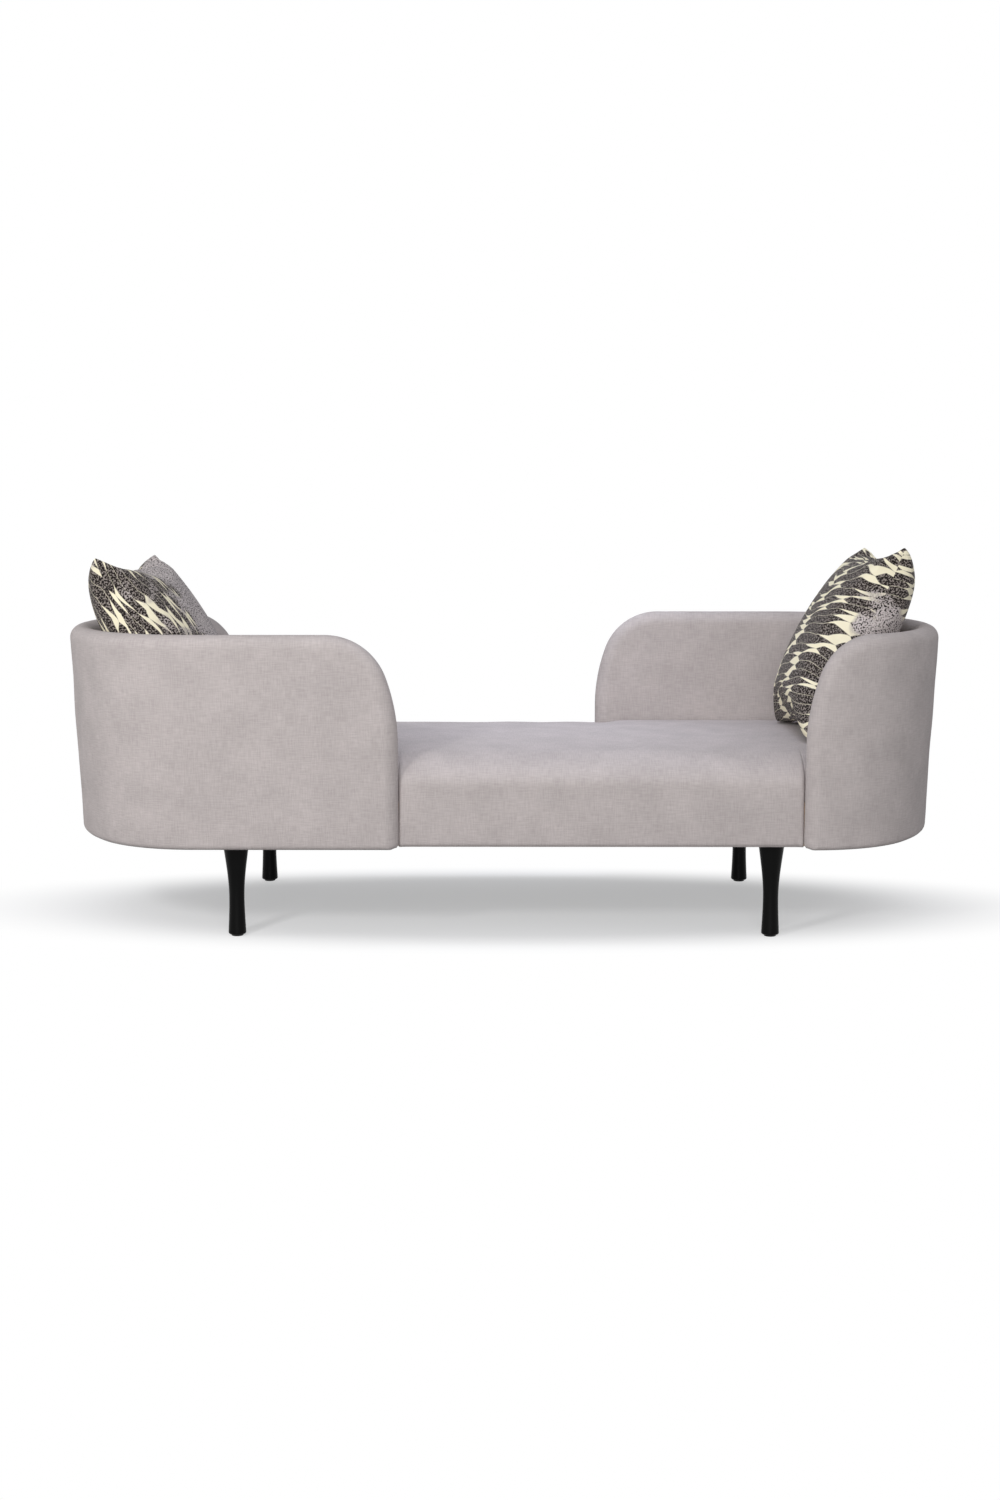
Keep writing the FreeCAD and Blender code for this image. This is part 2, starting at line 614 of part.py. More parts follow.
def seat_body(skin, low):
    """Seat a skin inside its fabric: crowned, fitted between the ends, with rolled front and back edges."""
    low_x = LONG_NOSE_X + NOSE_GAP + skin
    high_x = -SHORT_NOSE_X - NOSE_GAP - skin
    block = tapered(WALL + SEAT_GAP + skin, low, SEAT_TOP + SEAT_ROLL)
    front = box((low_x, skin - SEAT_FACE_Y, low), (high_x, 0, SEAT_TOP + SEAT_ROLL))
    block = block.fuse([front, turned(front)]).removeSplitter()
    edge_z = SEAT_TOP - SEAT_CROWN - skin
    side = HALF_DEPTH
    crown_z = SEAT_TOP - skin
    far_side = [(SEAT_FACE_Y, edge_z), (side, edge_z), (side, 0)]
    section = far_side + [(-y, z) for y, z in reversed(far_side)]
    corners = [Vector(-FAR, y, z) for y, z in section]
    arc = Part.Arc(corners[-1], Vector(-FAR, 0, crown_z), corners[0])
    edges = [arc.toShape()] + [Part.LineSegment(a, b).toShape() for a, b in zip(corners, corners[1:])]
    crowned = Part.Face(Part.Wire(edges)).extrude(Vector(2 * FAR, 0, 0))
    roll = roll_cutter(skin, low_x, high_x)
    return block.common(crowned).cut([roll, turned(roll)])


def front_apron():
    """Fabric over the front rail, from the seat's edge down to a turned-under hem, open behind."""
    low_x, high_x = LONG_NOSE_X + NOSE_GAP, -SHORT_NOSE_X - NOSE_GAP
    outside = box((low_x, -SEAT_FACE_Y, APRON_Z), (high_x, APRON_TURN - SEAT_FACE_Y, SEAT_LOW))
    inside = box((low_x + FABRIC, FABRIC - SEAT_FACE_Y, RAIL_Z), (high_x - FABRIC, 0, RIM_Z))
    return outside.cut([inside, tapered(RAIL[0] - LAYER_GAP, RAIL_Z, RIM_Z)])


def front_border():
    """Thin foam on the front rail between the noses, under the fabric."""
    skin = FABRIC + LAYER_GAP
    low_x, high_x = LONG_NOSE_X + NOSE_GAP + skin, -SHORT_NOSE_X - NOSE_GAP - skin
    pad = box((low_x, skin - SEAT_FACE_Y, RAIL_Z + LAYER_GAP), (high_x, 0, SEAT_LOW))
    return pad.cut(tapered(RAIL[0], RAIL_Z - WALL, RIM_Z))


def seat_pieces():
    """Seat foam, border foams, seat cover, felt and dust cover."""
    apron = front_apron()
    top = seat_body(0.0, SEAT_LOW).cut(seat_body(FABRIC, SEAT_LOW - WALL))
    felt_low = RAIL_TOP + 2 * STRAP_THICK + STRAP_PLAY + LAYER_GAP
    felt = tapered(RAIL[1] + SEAT_GAP + FABRIC + LAYER_GAP, felt_low, felt_low + FELT_THICK)
    dust = tapered(DUST_INSET, RAIL_Z - DUST_THICK, RAIL_Z)
    half = PLATE_SIZE / 2 + DUST_CLEAR
    openings = []
    for spot in leg_places().values():
        openings.append(box((spot.x - half, spot.y - half, 0), (spot.x + half, spot.y + half, RIM_Z)))
    return {
        "seat_foam": seat_body(FABRIC + LAYER_GAP, FOAM_LOW),
        "seat_cover": top.fuse([apron, turned(apron)]).removeSplitter(),
        "front_border_foam": front_border(),
        "back_border_foam": turned(front_border()),
        "deck_felt": felt,
        "dust_cover": dust.cut(openings),
    }


def cushion_outline(level, middle, half_thick, up):
    """Outline of a cushion at a level of its crown: four arcs, pulled in at the seam, round near the top."""
    reach = middle * (1 - level ** CUSHION_CROWN_POWER) ** CUSHION_SIDE_POWER
    corner = reach * (CUSHION_ROUND + CUSHION_EAR * (1 - level) ** 2)
    z = up * half_thick * level
    corners = [Vector(x * corner, y * corner, z) for x, y in ((1, -1), (1, 1), (-1, 1), (-1, -1))]
    middles = [Vector(x * reach, y * reach, z) for x, y in ((1, 0), (0, 1), (-1, 0), (0, -1))]
    ends = corners[1:] + corners[:1]
    return Part.Wire([Part.Arc(a, b, c).toShape() for a, b, c in zip(corners, middles, ends)])


def cushion_body(middle, half_thick):
    """Knife-edge cushion about its centre, crowned on both faces, its sides pulled in between the corners."""
    halves = []
    for up in (1, -1):
        outlines = [cushion_outline(level, middle, half_thick, up) for level in CUSHION_LEVELS]
        halves.append(Part.makeLoft(outlines, True, False))
    return halves[0].fuse(halves[1])


def leaning(shape, place):
    """A cushion leaned back against an end: its face looks to the middle, turned a little and rolled on a corner."""
    turn, lean, roll = [math.radians(place[angle]) for angle in ("turn", "lean", "roll")]
    facing = Vector(-place["side"] * math.cos(turn), -math.sin(turn), 0)
    width = facing.cross(Vector(0, 0, 1))
    up = Vector(0, 0, math.cos(lean)) - facing * math.sin(lean)
    face = facing * math.cos(lean) + Vector(0, 0, math.sin(lean))
    along = width * math.cos(roll) + up * math.sin(roll)
    above = up * math.cos(roll) - width * math.sin(roll)
    return placed(shape, along, above, face, Vector(*place["centre"]))


def cushion_pieces():
    """Filling and cover of both scatter cushions."""
    outside = cushion_body(CUSHION_MIDDLE, CUSHION_HALF_THICK)
    middle, half_thick = CUSHION_MIDDLE - CUSHION_SEAM, CUSHION_HALF_THICK - CUSHION_CLOTH
    cover = outside.cut(cushion_body(middle, half_thick))
    filling = cushion_body(middle - LAYER_GAP, half_thick - LAYER_GAP)
    pieces = {}
    for side, place in (("left", LEFT_CUSHION), ("right", RIGHT_CUSHION)):
        pieces[side + "_cushion_cover"] = leaning(cover, place)
        pieces[side + "_cushion_filling"] = leaning(filling, place)
    return pieces


def all_pieces():
    """Every node of the chaise, by name."""
    pieces = {}
    for name, shape in end_pieces().items():
        pieces["left_end_" + name] = shape
        pieces["right_end_" + name] = turned(shape)
    pieces.update(seat_frame_pieces())
    pieces.update(leg_pieces())
    pieces.update(webbing())
    pieces.update(seat_pieces())
    pieces.update(cushion_pieces())
    return pieces


os.makedirs("parts", exist_ok=True)
for node, shape in all_pieces().items():
    shape.exportStep("parts/%s.step" % node)
    state = "valid" if shape.isValid() else "INVALID"
    print(node, len(shape.Solids), "solid(s),", round(shape.Volume / 1000), "cm3,", state)
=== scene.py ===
# %% [markdown]
# # A double-ended chaise longue
#
# The chaise has two padded ends that wrap round opposite ways, a tight seat between them, four turned legs
# and two loose cushions. CAD holds the frame, the padding and the fastenings at their true places. This
# lesson gives the soft pieces their looks: it lays cloth over the same sizes, inflates the cushions, and
# lights the result like a plain product photograph.

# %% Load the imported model
import json
import math

import bmesh
import bpy
import numpy as np
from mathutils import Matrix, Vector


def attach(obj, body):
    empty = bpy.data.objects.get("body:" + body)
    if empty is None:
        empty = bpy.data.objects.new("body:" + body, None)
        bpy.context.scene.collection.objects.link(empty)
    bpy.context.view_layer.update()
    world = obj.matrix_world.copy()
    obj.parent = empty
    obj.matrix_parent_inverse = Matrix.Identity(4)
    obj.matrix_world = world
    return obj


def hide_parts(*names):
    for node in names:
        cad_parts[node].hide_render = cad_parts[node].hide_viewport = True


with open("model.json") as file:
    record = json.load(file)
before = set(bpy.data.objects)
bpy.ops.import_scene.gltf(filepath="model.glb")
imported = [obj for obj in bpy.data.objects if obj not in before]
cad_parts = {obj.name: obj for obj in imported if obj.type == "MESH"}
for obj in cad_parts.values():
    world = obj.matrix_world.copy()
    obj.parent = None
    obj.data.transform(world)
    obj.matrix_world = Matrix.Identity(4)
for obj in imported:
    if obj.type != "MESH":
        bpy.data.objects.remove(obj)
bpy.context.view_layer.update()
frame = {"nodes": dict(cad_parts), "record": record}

# %% [markdown]
# ## Tools for the finishes
#
# A shader is a small graph. One function adds a node and wires or sets its inputs, so each finish below
# reads as a list of steps. Colours are given as the hex numbers that a colour picker shows, and turned
# into the linear values that light is added up in.

# %% Colour and node helpers
def linear(hex_colour):
    """An sRGB hex colour as linear red, green, blue and an alpha of 1, by the sRGB curve."""
    values = np.array([int(hex_colour[start:start + 2], 16) for start in (0, 2, 4)]) / 255
    bright = ((values + 0.055) / 1.055) ** 2.4
    return [*np.where(values <= 0.04045, values / 12.92, bright).tolist(), 1.0]


def add(tree, kind, inputs=None, **settings):
    """Adds a shader node. inputs maps socket names or numbers to a value, or to an output to be linked."""
    made = tree.nodes.new("ShaderNode" + kind)
    for name, value in settings.items():
        setattr(made, name, value)
    for name, value in (inputs or {}).items():
        if isinstance(value, bpy.types.NodeSocket):
            tree.links.new(value, made.inputs[name])
        else:
            made.inputs[name].default_value = value
    return made.outputs


def finish_of(name, **surface):
    """A material with one Principled shader, its inputs set by name. Returns it with its tree and shader."""
    made = bpy.data.materials.new(name)
    made.use_nodes = True
    tree = made.node_tree
    shader = tree.nodes["Principled BSDF"]
    for socket, value in surface.items():
        shader.inputs[socket.replace("_", " ")].default_value = value
    return made, tree, shader


# Soft noise keeps near its middle, so this stretch of it is spread from 0 to 1.
NOISE_LOW, NOISE_HIGH = 0.3, 0.7


def stretched_noise(tree, place, across, along, detail=1.0):
    """Soft noise whose spots measure across by along metres in the cloth's own plane, from 0 to 1."""
    scaled = add(tree, "VectorMath", {0: place, 1: (1 / across, 1 / along, 1)}, operation="MULTIPLY")[0]
    inputs = {"Vector": scaled, "Scale": 1.0, "Detail": detail}
    noise = add(tree, "TexNoise", inputs, noise_dimensions="2D")[0]
    return add(tree, "MapRange", {0: noise, 1: NOISE_LOW, 2: NOISE_HIGH})[0]


print("helpers ready")

# %% [markdown]
# ## Slubbed linen
#
# The cover is a plain weave of uneven yarn. Thick places in the yarn, called slubs, show as short pale or
# dark streaks along both thread directions, a few millimetres wide. Under them lies a faint cloudiness
# where the pile of the yarn lies one way or the other. A picture of cloth could be laid over the cover,
# but it would repeat along two metres of seat. Noise that is stretched along each thread direction
# doesn't, and its scale comes from the yarn. A little sheen lifts the edges, as brushed fibre does.

# %% Upholstery finish
SLUB_WIDTH = 0.0024
SLUB_LENGTH = 0.028
SLUB_SHADE = 0.20
SLUB_BASE = 0.30
CLOUD = 0.09
CLOUD_DETAIL = 3.0
HAZE = 0.05

linen, tree, shader = finish_of(
    "slubbed_linen", Roughness=0.92, Sheen_Weight=0.04, Specular_IOR_Level=0.15)
place = add(tree, "UVMap", uv_map="weave")[0]
warp = stretched_noise(tree, place, SLUB_WIDTH, SLUB_LENGTH)
weft = stretched_noise(tree, place, SLUB_LENGTH, SLUB_WIDTH)
cloud = stretched_noise(tree, place, CLOUD, CLOUD, CLOUD_DETAIL)
slubs = add(tree, "Math", {0: warp, 1: weft}, operation="ADD")[0]
tone = add(tree, "Math", {0: slubs, 1: SLUB_SHADE, 2: SLUB_BASE}, operation="MULTIPLY_ADD")[0]
yarn = add(tree, "Mix", {0: tone, 6: linear("988F8D"), 7: linear("C3BBB8")}, data_type="RGBA")[2]
haze = add(tree, "MapRange", {0: cloud, 3: 1 - HAZE, 4: 1 + HAZE})[0]
cloth = add(tree, "VectorMath", {0: yarn, "Scale": haze}, operation="SCALE")[0]
tree.links.new(cloth, shader.inputs["Base Color"])
print("coloured", linen.name)

# %% Upholstery threads
# The threads are coarsened from about 0.8 mm so that they survive at this distance.
THREAD = 0.0022
THREAD_HIGH = 0.0006
# A slub adds up to this much of a thread's height in each direction.
SLUB_HIGH = 0.6
# A wave texture of scale 1 repeats every 0.314 m.
WAVE_REPEAT = 0.314

waves = {"Vector": place, "Scale": WAVE_REPEAT / THREAD}
across = add(tree, "TexWave", waves, bands_direction="X")[1]
along = add(tree, "TexWave", waves, bands_direction="Y")[1]
threads = add(tree, "Math", {0: across, 1: along}, operation="MULTIPLY")[0]
height = add(tree, "Math", {0: slubs, 1: SLUB_HIGH, 2: threads}, operation="MULTIPLY_ADD")[0]
relief = add(tree, "Bump", {"Strength": 0.35, "Distance": THREAD_HIGH, "Height": height})[0]
tree.links.new(relief, shader.inputs["Normal"])
print("wove", linen.name)

# %% [markdown]
# ## Striped jacquard
#
# The cushions carry a broken stripe. Dark spindles lie in rows, each row shifted by its own amount, and
# noise bends the rows a little. The pale ground shows as thin lines between the rows and as wedges at the
# tips. Specks of grey yarn run through the dark, as in a jacquard whose light weft shows between the dark
# warp. The stripe could be painted on the flat panels. Worked out from rows instead, a few sizes set it
# and its edges stay sharp. An attribute of the panels, heather, says where the specks close up and the
# stripe fades.

# %% Cushion finish: rows of spindles
ROW_PITCH = 0.022
ROW_TILT = 0.18
# Rows that the bend can shift a place by, and the size of the bends.
ROW_SWAY = 1.6
SWAY_SIZE = (0.20, 0.16)
# Counting from here keeps every row's number above 0.
FIRST_ROW = 40.0

jacquard, tree, shader = finish_of(
    "striped_jacquard", Roughness=0.9, Sheen_Weight=0.05, Specular_IOR_Level=0.15)
place = add(tree, "UVMap", uv_map="weave")[0]
split = add(tree, "SeparateXYZ", {0: place})
bend = stretched_noise(tree, place, *SWAY_SIZE)
slope = add(tree, "Math", {0: split[0], 1: ROW_TILT, 2: split[1]}, operation="MULTIPLY_ADD")[0]
bands = add(tree, "Math", {0: slope, 1: 1 / ROW_PITCH, 2: FIRST_ROW}, operation="MULTIPLY_ADD")[0]
phase = add(tree, "Math", {0: bend, 1: ROW_SWAY, 2: bands}, operation="MULTIPLY_ADD")[0]
row = add(tree, "Math", {0: phase}, operation="FLOOR")[0]
inside = add(tree, "Math", {0: phase}, operation="FRACT")[0]
middle = add(tree, "Math", {0: inside, 1: 0.5}, operation="SUBTRACT")[0]
off_line = add(tree, "Math", {0: middle}, operation="ABSOLUTE")[0]
print("rows", ROW_PITCH, "m apart")

# %% Cushion finish: spindles in each row
SPINDLE = 0.19
# Above 1 the widest place moves on towards the spindle's end.
SPINDLE_SKEW = 1.5
# Share of the half length at which the taper starts, and half the width before it, in rows.
TAPER_START = 0.70
HALF_WIDTH = 0.488
SOFT_EDGE = 0.03

shift = add(tree, "TexWhiteNoise", {"W": row}, noise_dimensions="1D")[0]
run = add(tree, "Math", {0: split[0], 1: 1 / SPINDLE, 2: shift}, operation="MULTIPLY_ADD")[0]
portion = add(tree, "Math", {0: run}, operation="FRACT")[0]
skewed = add(tree, "Math", {0: portion, 1: SPINDLE_SKEW}, operation="POWER")[0]
signed = add(tree, "Math", {0: skewed, 1: 2.0, 2: -1.0}, operation="MULTIPLY_ADD")[0]
to_tip = add(tree, "Math", {0: signed}, operation="ABSOLUTE")[0]
half_width = add(tree, "MapRange", {0: to_tip, 1: TAPER_START, 2: 1.0, 3: HALF_WIDTH, 4: 0.0})[0]
gap = add(tree, "Math", {0: off_line, 1: half_width}, operation="SUBTRACT")[0]
wedge = add(tree, "MapRange", {0: gap, 1: -SOFT_EDGE, 2: SOFT_EDGE})[0]
print("spindles", SPINDLE, "m long")

# %% Cushion finish: speckled ground
# The specks are coarsened from about 1.5 mm so that they survive at this distance.
SPECK = 0.0042
SPECK_HIGH = 0.0008
PATCH = 0.05
# Noise alone comes up to this and shows no heather, so the heather ends in a ragged edge.
RAGGED = 0.5
FULL_HEATHER = 0.92
# Noise above this level shows as a grey speck, on the plain stripe and in the heather.
PLAIN_LEVEL, HEATHER_LEVEL = 0.55, 0.26
SPECK_START, SPECK_FULL = -0.08, 0.22
STRIPE_LEFT = 0.25

fade = add(tree, "Attribute", attribute_name="heather")[2]
patchy = stretched_noise(tree, place, PATCH, PATCH)
ragged = add(tree, "Math", {0: patchy, 1: RAGGED, 2: fade}, operation="MULTIPLY_ADD")[0]
limits = {0: ragged, 1: RAGGED, 2: 1.0, 4: FULL_HEATHER}
heather = add(tree, "MapRange", limits, interpolation_type="SMOOTHSTEP")[0]
level = add(tree, "MapRange", {0: heather, 3: PLAIN_LEVEL, 4: HEATHER_LEVEL})[0]
speck = stretched_noise(tree, place, SPECK, SPECK)
above = add(tree, "Math", {0: speck, 1: level}, operation="SUBTRACT")[0]
grey = add(tree, "MapRange", {0: above, 1: SPECK_START, 2: SPECK_FULL})[0]
weft = add(tree, "Mix", {0: heather, 6: linear("8A817B"), 7: linear("C4BBB9")}, data_type="RGBA")[2]
ground = add(tree, "Mix", {0: grey, 6: linear("1E1918"), 7: weft}, data_type="RGBA")[2]
pale = add(tree, "Mix", {0: heather, 6: linear("EBE3C8"), 7: linear("C9C0BE")}, data_type="RGBA")[2]
faded = add(tree, "MapRange", {0: heather, 3: 1.0, 4: STRIPE_LEFT})[0]
shown = add(tree, "Math", {0: wedge, 1: faded}, operation="MULTIPLY")[0]
stripe = add(tree, "Mix", {0: shown, 6: ground, 7: pale}, data_type="RGBA")[2]
tree.links.new(stripe, shader.inputs["Base Color"])
relief = add(tree, "Bump", {"Strength": 0.4, "Distance": SPECK_HIGH, "Height": speck})[0]
tree.links.new(relief, shader.inputs["Normal"])
print("made", jacquard.name)

# %% [markdown]
# ## Finishes of the frame
#
# The legs are lacquered satin black, so they show as dark shapes with little gloss. The rest of the frame
# shows only from below or with the covers off: planed hardwood and bending plywood with grain, zinc-plated
# steel, nylon glides, and the dark textiles of the suspension. Each could have a graph of its own, but so
# far from sight one loop is enough: a pair of close colours, mixed by a noise that is stretched along the
# grain or the weave.

# %% Frame finishes
FINISHES = {
    # slot: two colours, size of the grain along X, Y and Z in metres, roughness, metal, specular level
    "leg_lacquer": ("020202", "060606", (0.05, 0.05, 0.20), 0.35, 0.0, 0.08),
    "frame_wood": ("B98F62", "D2AC7C", (0.25, 0.02, 0.02), 0.65, 0.0, 0.08),
    "plywood": ("C7A473", "DCC090", (0.02, 0.02, 0.30), 0.60, 0.0, 0.08),
    "steel": ("A9ABAF", "C2C4C8", (0.004, 0.004, 0.004), 0.35, 1.0, 0.50),
    "glide": ("141414", "1C1C1C", (0.003, 0.003, 0.003), 0.50, 0.0, 0.08),
    "webbing": ("2A2A2E", "3A3A3F", (0.003, 0.003, 0.010), 0.90, 0.0, 0.08),
    "felt": ("77726C", "8C877F", (0.006, 0.006, 0.006), 0.95, 0.0, 0.08),
    "dust_cloth": ("101010", "191919", (0.004, 0.004, 0.004), 0.90, 0.0, 0.08),
    "foam": ("E2DCC4", "EFEAD8", (0.004, 0.004, 0.004), 0.95, 0.0, 0.08),
    "filling": ("E6E4DD", "F2F0EA", (0.006, 0.006, 0.006), 0.95, 0.0, 0.08),
}
GRAIN_DETAIL = 3.0

finishes = {"upholstery": linen, "cushion_cloth": jacquard}
for name, (dark, light, grain, roughness, metal, specular) in FINISHES.items():
    made, tree, shader = finish_of(
        name, Roughness=roughness, Metallic=metal, Specular_IOR_Level=specular)
    place = add(tree, "TexCoord")["Object"]
    per_metre = [1 / size for size in grain]
    scaled = add(tree, "VectorMath", {0: place, 1: per_metre}, operation="MULTIPLY")[0]
    noise = add(tree, "TexNoise", {"Vector": scaled, "Scale": 1.0, "Detail": GRAIN_DETAIL})[0]
    tint = add(tree, "Mix", {0: noise, 6: linear(dark), 7: linear(light)}, data_type="RGBA")[2]
    tree.links.new(tint, shader.inputs["Base Color"])
    finishes[name] = made
for subpart in frame["record"]["subparts"]:
    mesh = frame["nodes"][subpart["node"]].data
    mesh.materials.clear()
    mesh.materials.append(finishes[subpart["material_slot"]])

# %% [markdown]
# ## Sheets of cloth
#
# Every soft piece is sewn from grids of points. They could be modelled by hand and unwrapped afterwards,
# but a grid knows its own cloth: a second table says where each point lies on the flat cloth, in metres,
# so the weave keeps its true scale. Grids that share an edge are welded there, which leaves one closed
# skin.

# %% Sewing helper
# Points closer than WELD are one point, and edges up to SHORTEST_EDGE are dropped, in metres.
WELD = 2e-5
SHORTEST_EDGE = 1e-6


def sew(name, sheets, finish):
    """One closed piece from sheets, each a grid of points with a grid of their places on the flat cloth."""
    points, weave, faces, start = [], [], [], 0
    for grid, cloth in sheets:
        rows, columns = grid.shape[:2]
        corner = np.arange(rows * columns).reshape(rows, columns)[:-1, :-1].ravel() + start
        faces.append(np.stack([corner, corner + 1, corner + columns + 1, corner + columns], axis=1))
        points.append(grid.reshape(-1, 3))
        weave.append(cloth.reshape(-1, 2))
        start += rows * columns
    points, weave, faces = np.concatenate(points), np.concatenate(weave), np.concatenate(faces)
    mesh = bpy.data.meshes.new(name)
    mesh.from_pydata(points.tolist(), [], faces.tolist())
    layer = mesh.uv_layers.new(name="weave")
    layer.data.foreach_set("uv", weave[faces.ravel()].ravel())
    shell = bmesh.new()
    shell.from_mesh(mesh)
    bmesh.ops.remove_doubles(shell, verts=shell.verts, dist=WELD)
    bmesh.ops.dissolve_degenerate(shell, edges=shell.edges, dist=SHORTEST_EDGE)
    bmesh.ops.recalc_face_normals(shell, faces=shell.faces)
    shell.to_mesh(mesh)
    shell.free()
    mesh.shade_smooth()
    mesh.materials.append(finish)
    made = bpy.data.objects.new(name, mesh)
    bpy.context.scene.collection.objects.link(made)
    print(name, len(mesh.vertices), "points", len(mesh.polygons), "faces")
    return made


print("sheets weld at", WELD, "m")

# %% Soft forms
SWELLS = 8
SWELL_LENGTHS = (0.12, 0.4)
# Eight waves seldom add up to more than this many.
SWELL_SUM = 3
# Directions and phases are drawn from a whole turn, in radians.
WHOLE_TURN = 6.3


def ripple(first, second, size, seed):
    """Slow uneven swell of soft padding: the sum of plane waves of random length and direction, size high."""
    pick = np.random.default_rng(seed)
    lengths = pick.uniform(*SWELL_LENGTHS, SWELLS)
    turns = pick.uniform(0, WHOLE_TURN, SWELLS)
    shifts = pick.uniform(0, WHOLE_TURN, SWELLS)
    total = 0.0
    for length, turn, shift in zip(lengths, turns, shifts):
        along = first * math.cos(turn) + second * math.sin(turn)
        total = total + np.sin(along * 2 * math.pi / length + shift)
    return total * size / SWELL_SUM


def eased(value):
    """Smooth step from 0 to 1: v squared times 3 - 2 v, with v held between 0 and 1."""
    value = np.clip(value, 0, 1)
    return value * value * (3 - 2 * value)


print("swells of", SWELLS, "waves,", SWELL_LENGTHS[0], "to", SWELL_LENGTHS[1], "m long")

# %% [markdown]
# ## The wrap-around ends
#
# An end is a wall 60 mm thick that leans outward a little, with one long arm and one short arm. Its rim
# and noses are a full round. A section swept along the rim would leave the noses to be closed by hand.
# Here the wall is drawn flat first: along it runs the length of the rim line, up it the height. The flat
# edge is a plumb nose, two arcs and the level rim. Lines of points start square to that edge and end
# square to the hem. The plan line then bends the flat wall round the end, and the distance to the edge
# sets how far each point sinks, so that the outer and the inner face meet in the half round.

# %% Sizes of the ends, in metres
HALF_LENGTH = 1.044
HALF_DEPTH = 0.436
RIM_Z = 0.702
BASE_Z = 0.214
FLARE = 0.022
CORNER_RADIUS = 0.297
END_RADIUS = 0.537
WALL = 0.060
HEM_ROLL = 0.012
LONG_NOSE_X = -0.238
SHORT_NOSE_X = -0.682
CORNER_ARC = 0.145
NOSE_ARC = 0.440
NOSE_TURN = math.radians(20)

END_X = HALF_LENGTH - END_RADIUS
CORNER_SWEEP = math.acos((HALF_DEPTH - CORNER_RADIUS) / (END_RADIUS - CORNER_RADIUS))
CORNER_X = END_X + (END_RADIUS - CORNER_RADIUS) * math.sin(CORNER_SWEEP)
CORNER_Y = HALF_DEPTH - CORNER_RADIUS
CORNER_Z = RIM_Z - CORNER_ARC
NOSE_Z = CORNER_Z - (NOSE_ARC - CORNER_ARC) * math.sin(NOSE_TURN)
NOSE_RUN = CORNER_ARC * math.cos(NOSE_TURN) + NOSE_ARC * (1 - math.cos(NOSE_TURN))
CORNER_LENGTH = CORNER_RADIUS * CORNER_SWEEP
TURNS = [0, 0, CORNER_SWEEP, math.pi - CORNER_SWEEP, math.pi, math.pi]
STATIONS = np.cumsum([0, CORNER_X + LONG_NOSE_X, CORNER_LENGTH, END_RADIUS * (math.pi - 2 * CORNER_SWEEP),
                      CORNER_LENGTH, CORNER_X + SHORT_NOSE_X])
print("rim line of an end", round(STATIONS[-1], 3), "m")


# %% Plan line
def plan_line(length):
    """Places and outward directions along the left rim: front line, corner, end, corner, back line."""
    turn = np.interp(length, STATIONS, TURNS)
    across, ahead = -np.sin(turn), -np.cos(turn)
    on_end = (turn > CORNER_SWEEP) & (turn < math.pi - CORNER_SWEEP)
    radius = np.where(on_end, END_RADIUS, CORNER_RADIUS)
    straight = np.maximum(STATIONS[1] - length, 0) + np.maximum(length - STATIONS[4], 0)
    x = np.where(on_end, -END_X, -CORNER_X) + radius * across + straight
    y = np.where(on_end, 0, np.where(turn < math.pi / 2, -CORNER_Y, CORNER_Y)) + radius * ahead
    return x, y, across, ahead


print("the end stands out to x =", plan_line(STATIONS[2:4].mean())[0].round(3))

# %% Edge of an arm
# Points along each stretch of the edge.
HEM_POINTS = 10
LOW_POINTS = 30
HIGH_POINTS = 60


def hem_draw(up):
    """How far the lowest corner of a nose is drawn back, a quarter round as high as the hem's roll."""
    into = np.clip((BASE_Z + HEM_ROLL - up) / HEM_ROLL, 0, 1)
    return HEM_ROLL * (1 - np.sqrt(1 - into ** 2))


def nose_edge():
    """Set-back from the nose and height along an arm's edge: a quarter round at the hem, then two arcs."""
    hem = BASE_Z + HEM_ROLL * (1 - np.cos(np.linspace(0, math.pi / 2, HEM_POINTS)))
    low = np.linspace(0, NOSE_TURN, LOW_POINTS)
    high = np.linspace(NOSE_TURN, math.pi / 2, HIGH_POINTS)[1:]
    low_back, low_up = NOSE_ARC * (1 - np.cos(low)), NOSE_Z + NOSE_ARC * np.sin(low)
    high_back, high_up = NOSE_RUN - CORNER_ARC * np.cos(high), CORNER_Z + CORNER_ARC * np.sin(high)
    return np.concatenate([hem_draw(hem), low_back, high_back]), np.concatenate([hem, low_up, high_up])


def edge_distance(back, up):
    """Distance of a wall point from the edge line: the nearest arc's radius less the way to its centre."""
    lower = NOSE_ARC - np.hypot(NOSE_ARC - back, up - NOSE_Z)
    upper = CORNER_ARC - np.hypot(NOSE_RUN - back, up - CORNER_Z)
    on_lower = np.arctan2(up - NOSE_Z, np.maximum(NOSE_ARC - back, 1e-6)) < NOSE_TURN
    curved = np.where(on_lower, lower, np.where(back < NOSE_RUN, upper, RIM_Z - up))
    plumb = np.minimum(back - hem_draw(up), RIM_Z - up)
    return np.clip(np.where(up < NOSE_Z, plumb, curved), 0, None)


print("an arm's edge reaches the rim", round(NOSE_RUN, 3), "m behind its nose")

# %% Lines of points over the flat wall
STEP = 0.0075
# The lines fan out behind a nose, and are plumb from this length on.
FAN = 0.42
# Points at each end of the edge that stand too steep to be found by their length.
STEEP = 70
ROUND_POINTS = 11
# Largest shares of a line that its half round and its hem may take.
RIM_SHARE = 0.4
HEM_SHARE = 0.25


def flat_edge():
    """Edge of the flat wall (length, height), from the long arm's hem over the rim to the short arm's hem."""
    back, up = nose_edge()
    straight = CORNER_X + SHORT_NOSE_X
    bent = CORNER_RADIUS * np.arcsin(np.clip((back - straight) / CORNER_RADIUS, 0, 1))
    short = STATIONS[-1] - np.where(back < straight, back, straight + bent)
    return np.concatenate([np.stack([back, up], axis=1), np.stack([short, up], axis=1)[::-1]])


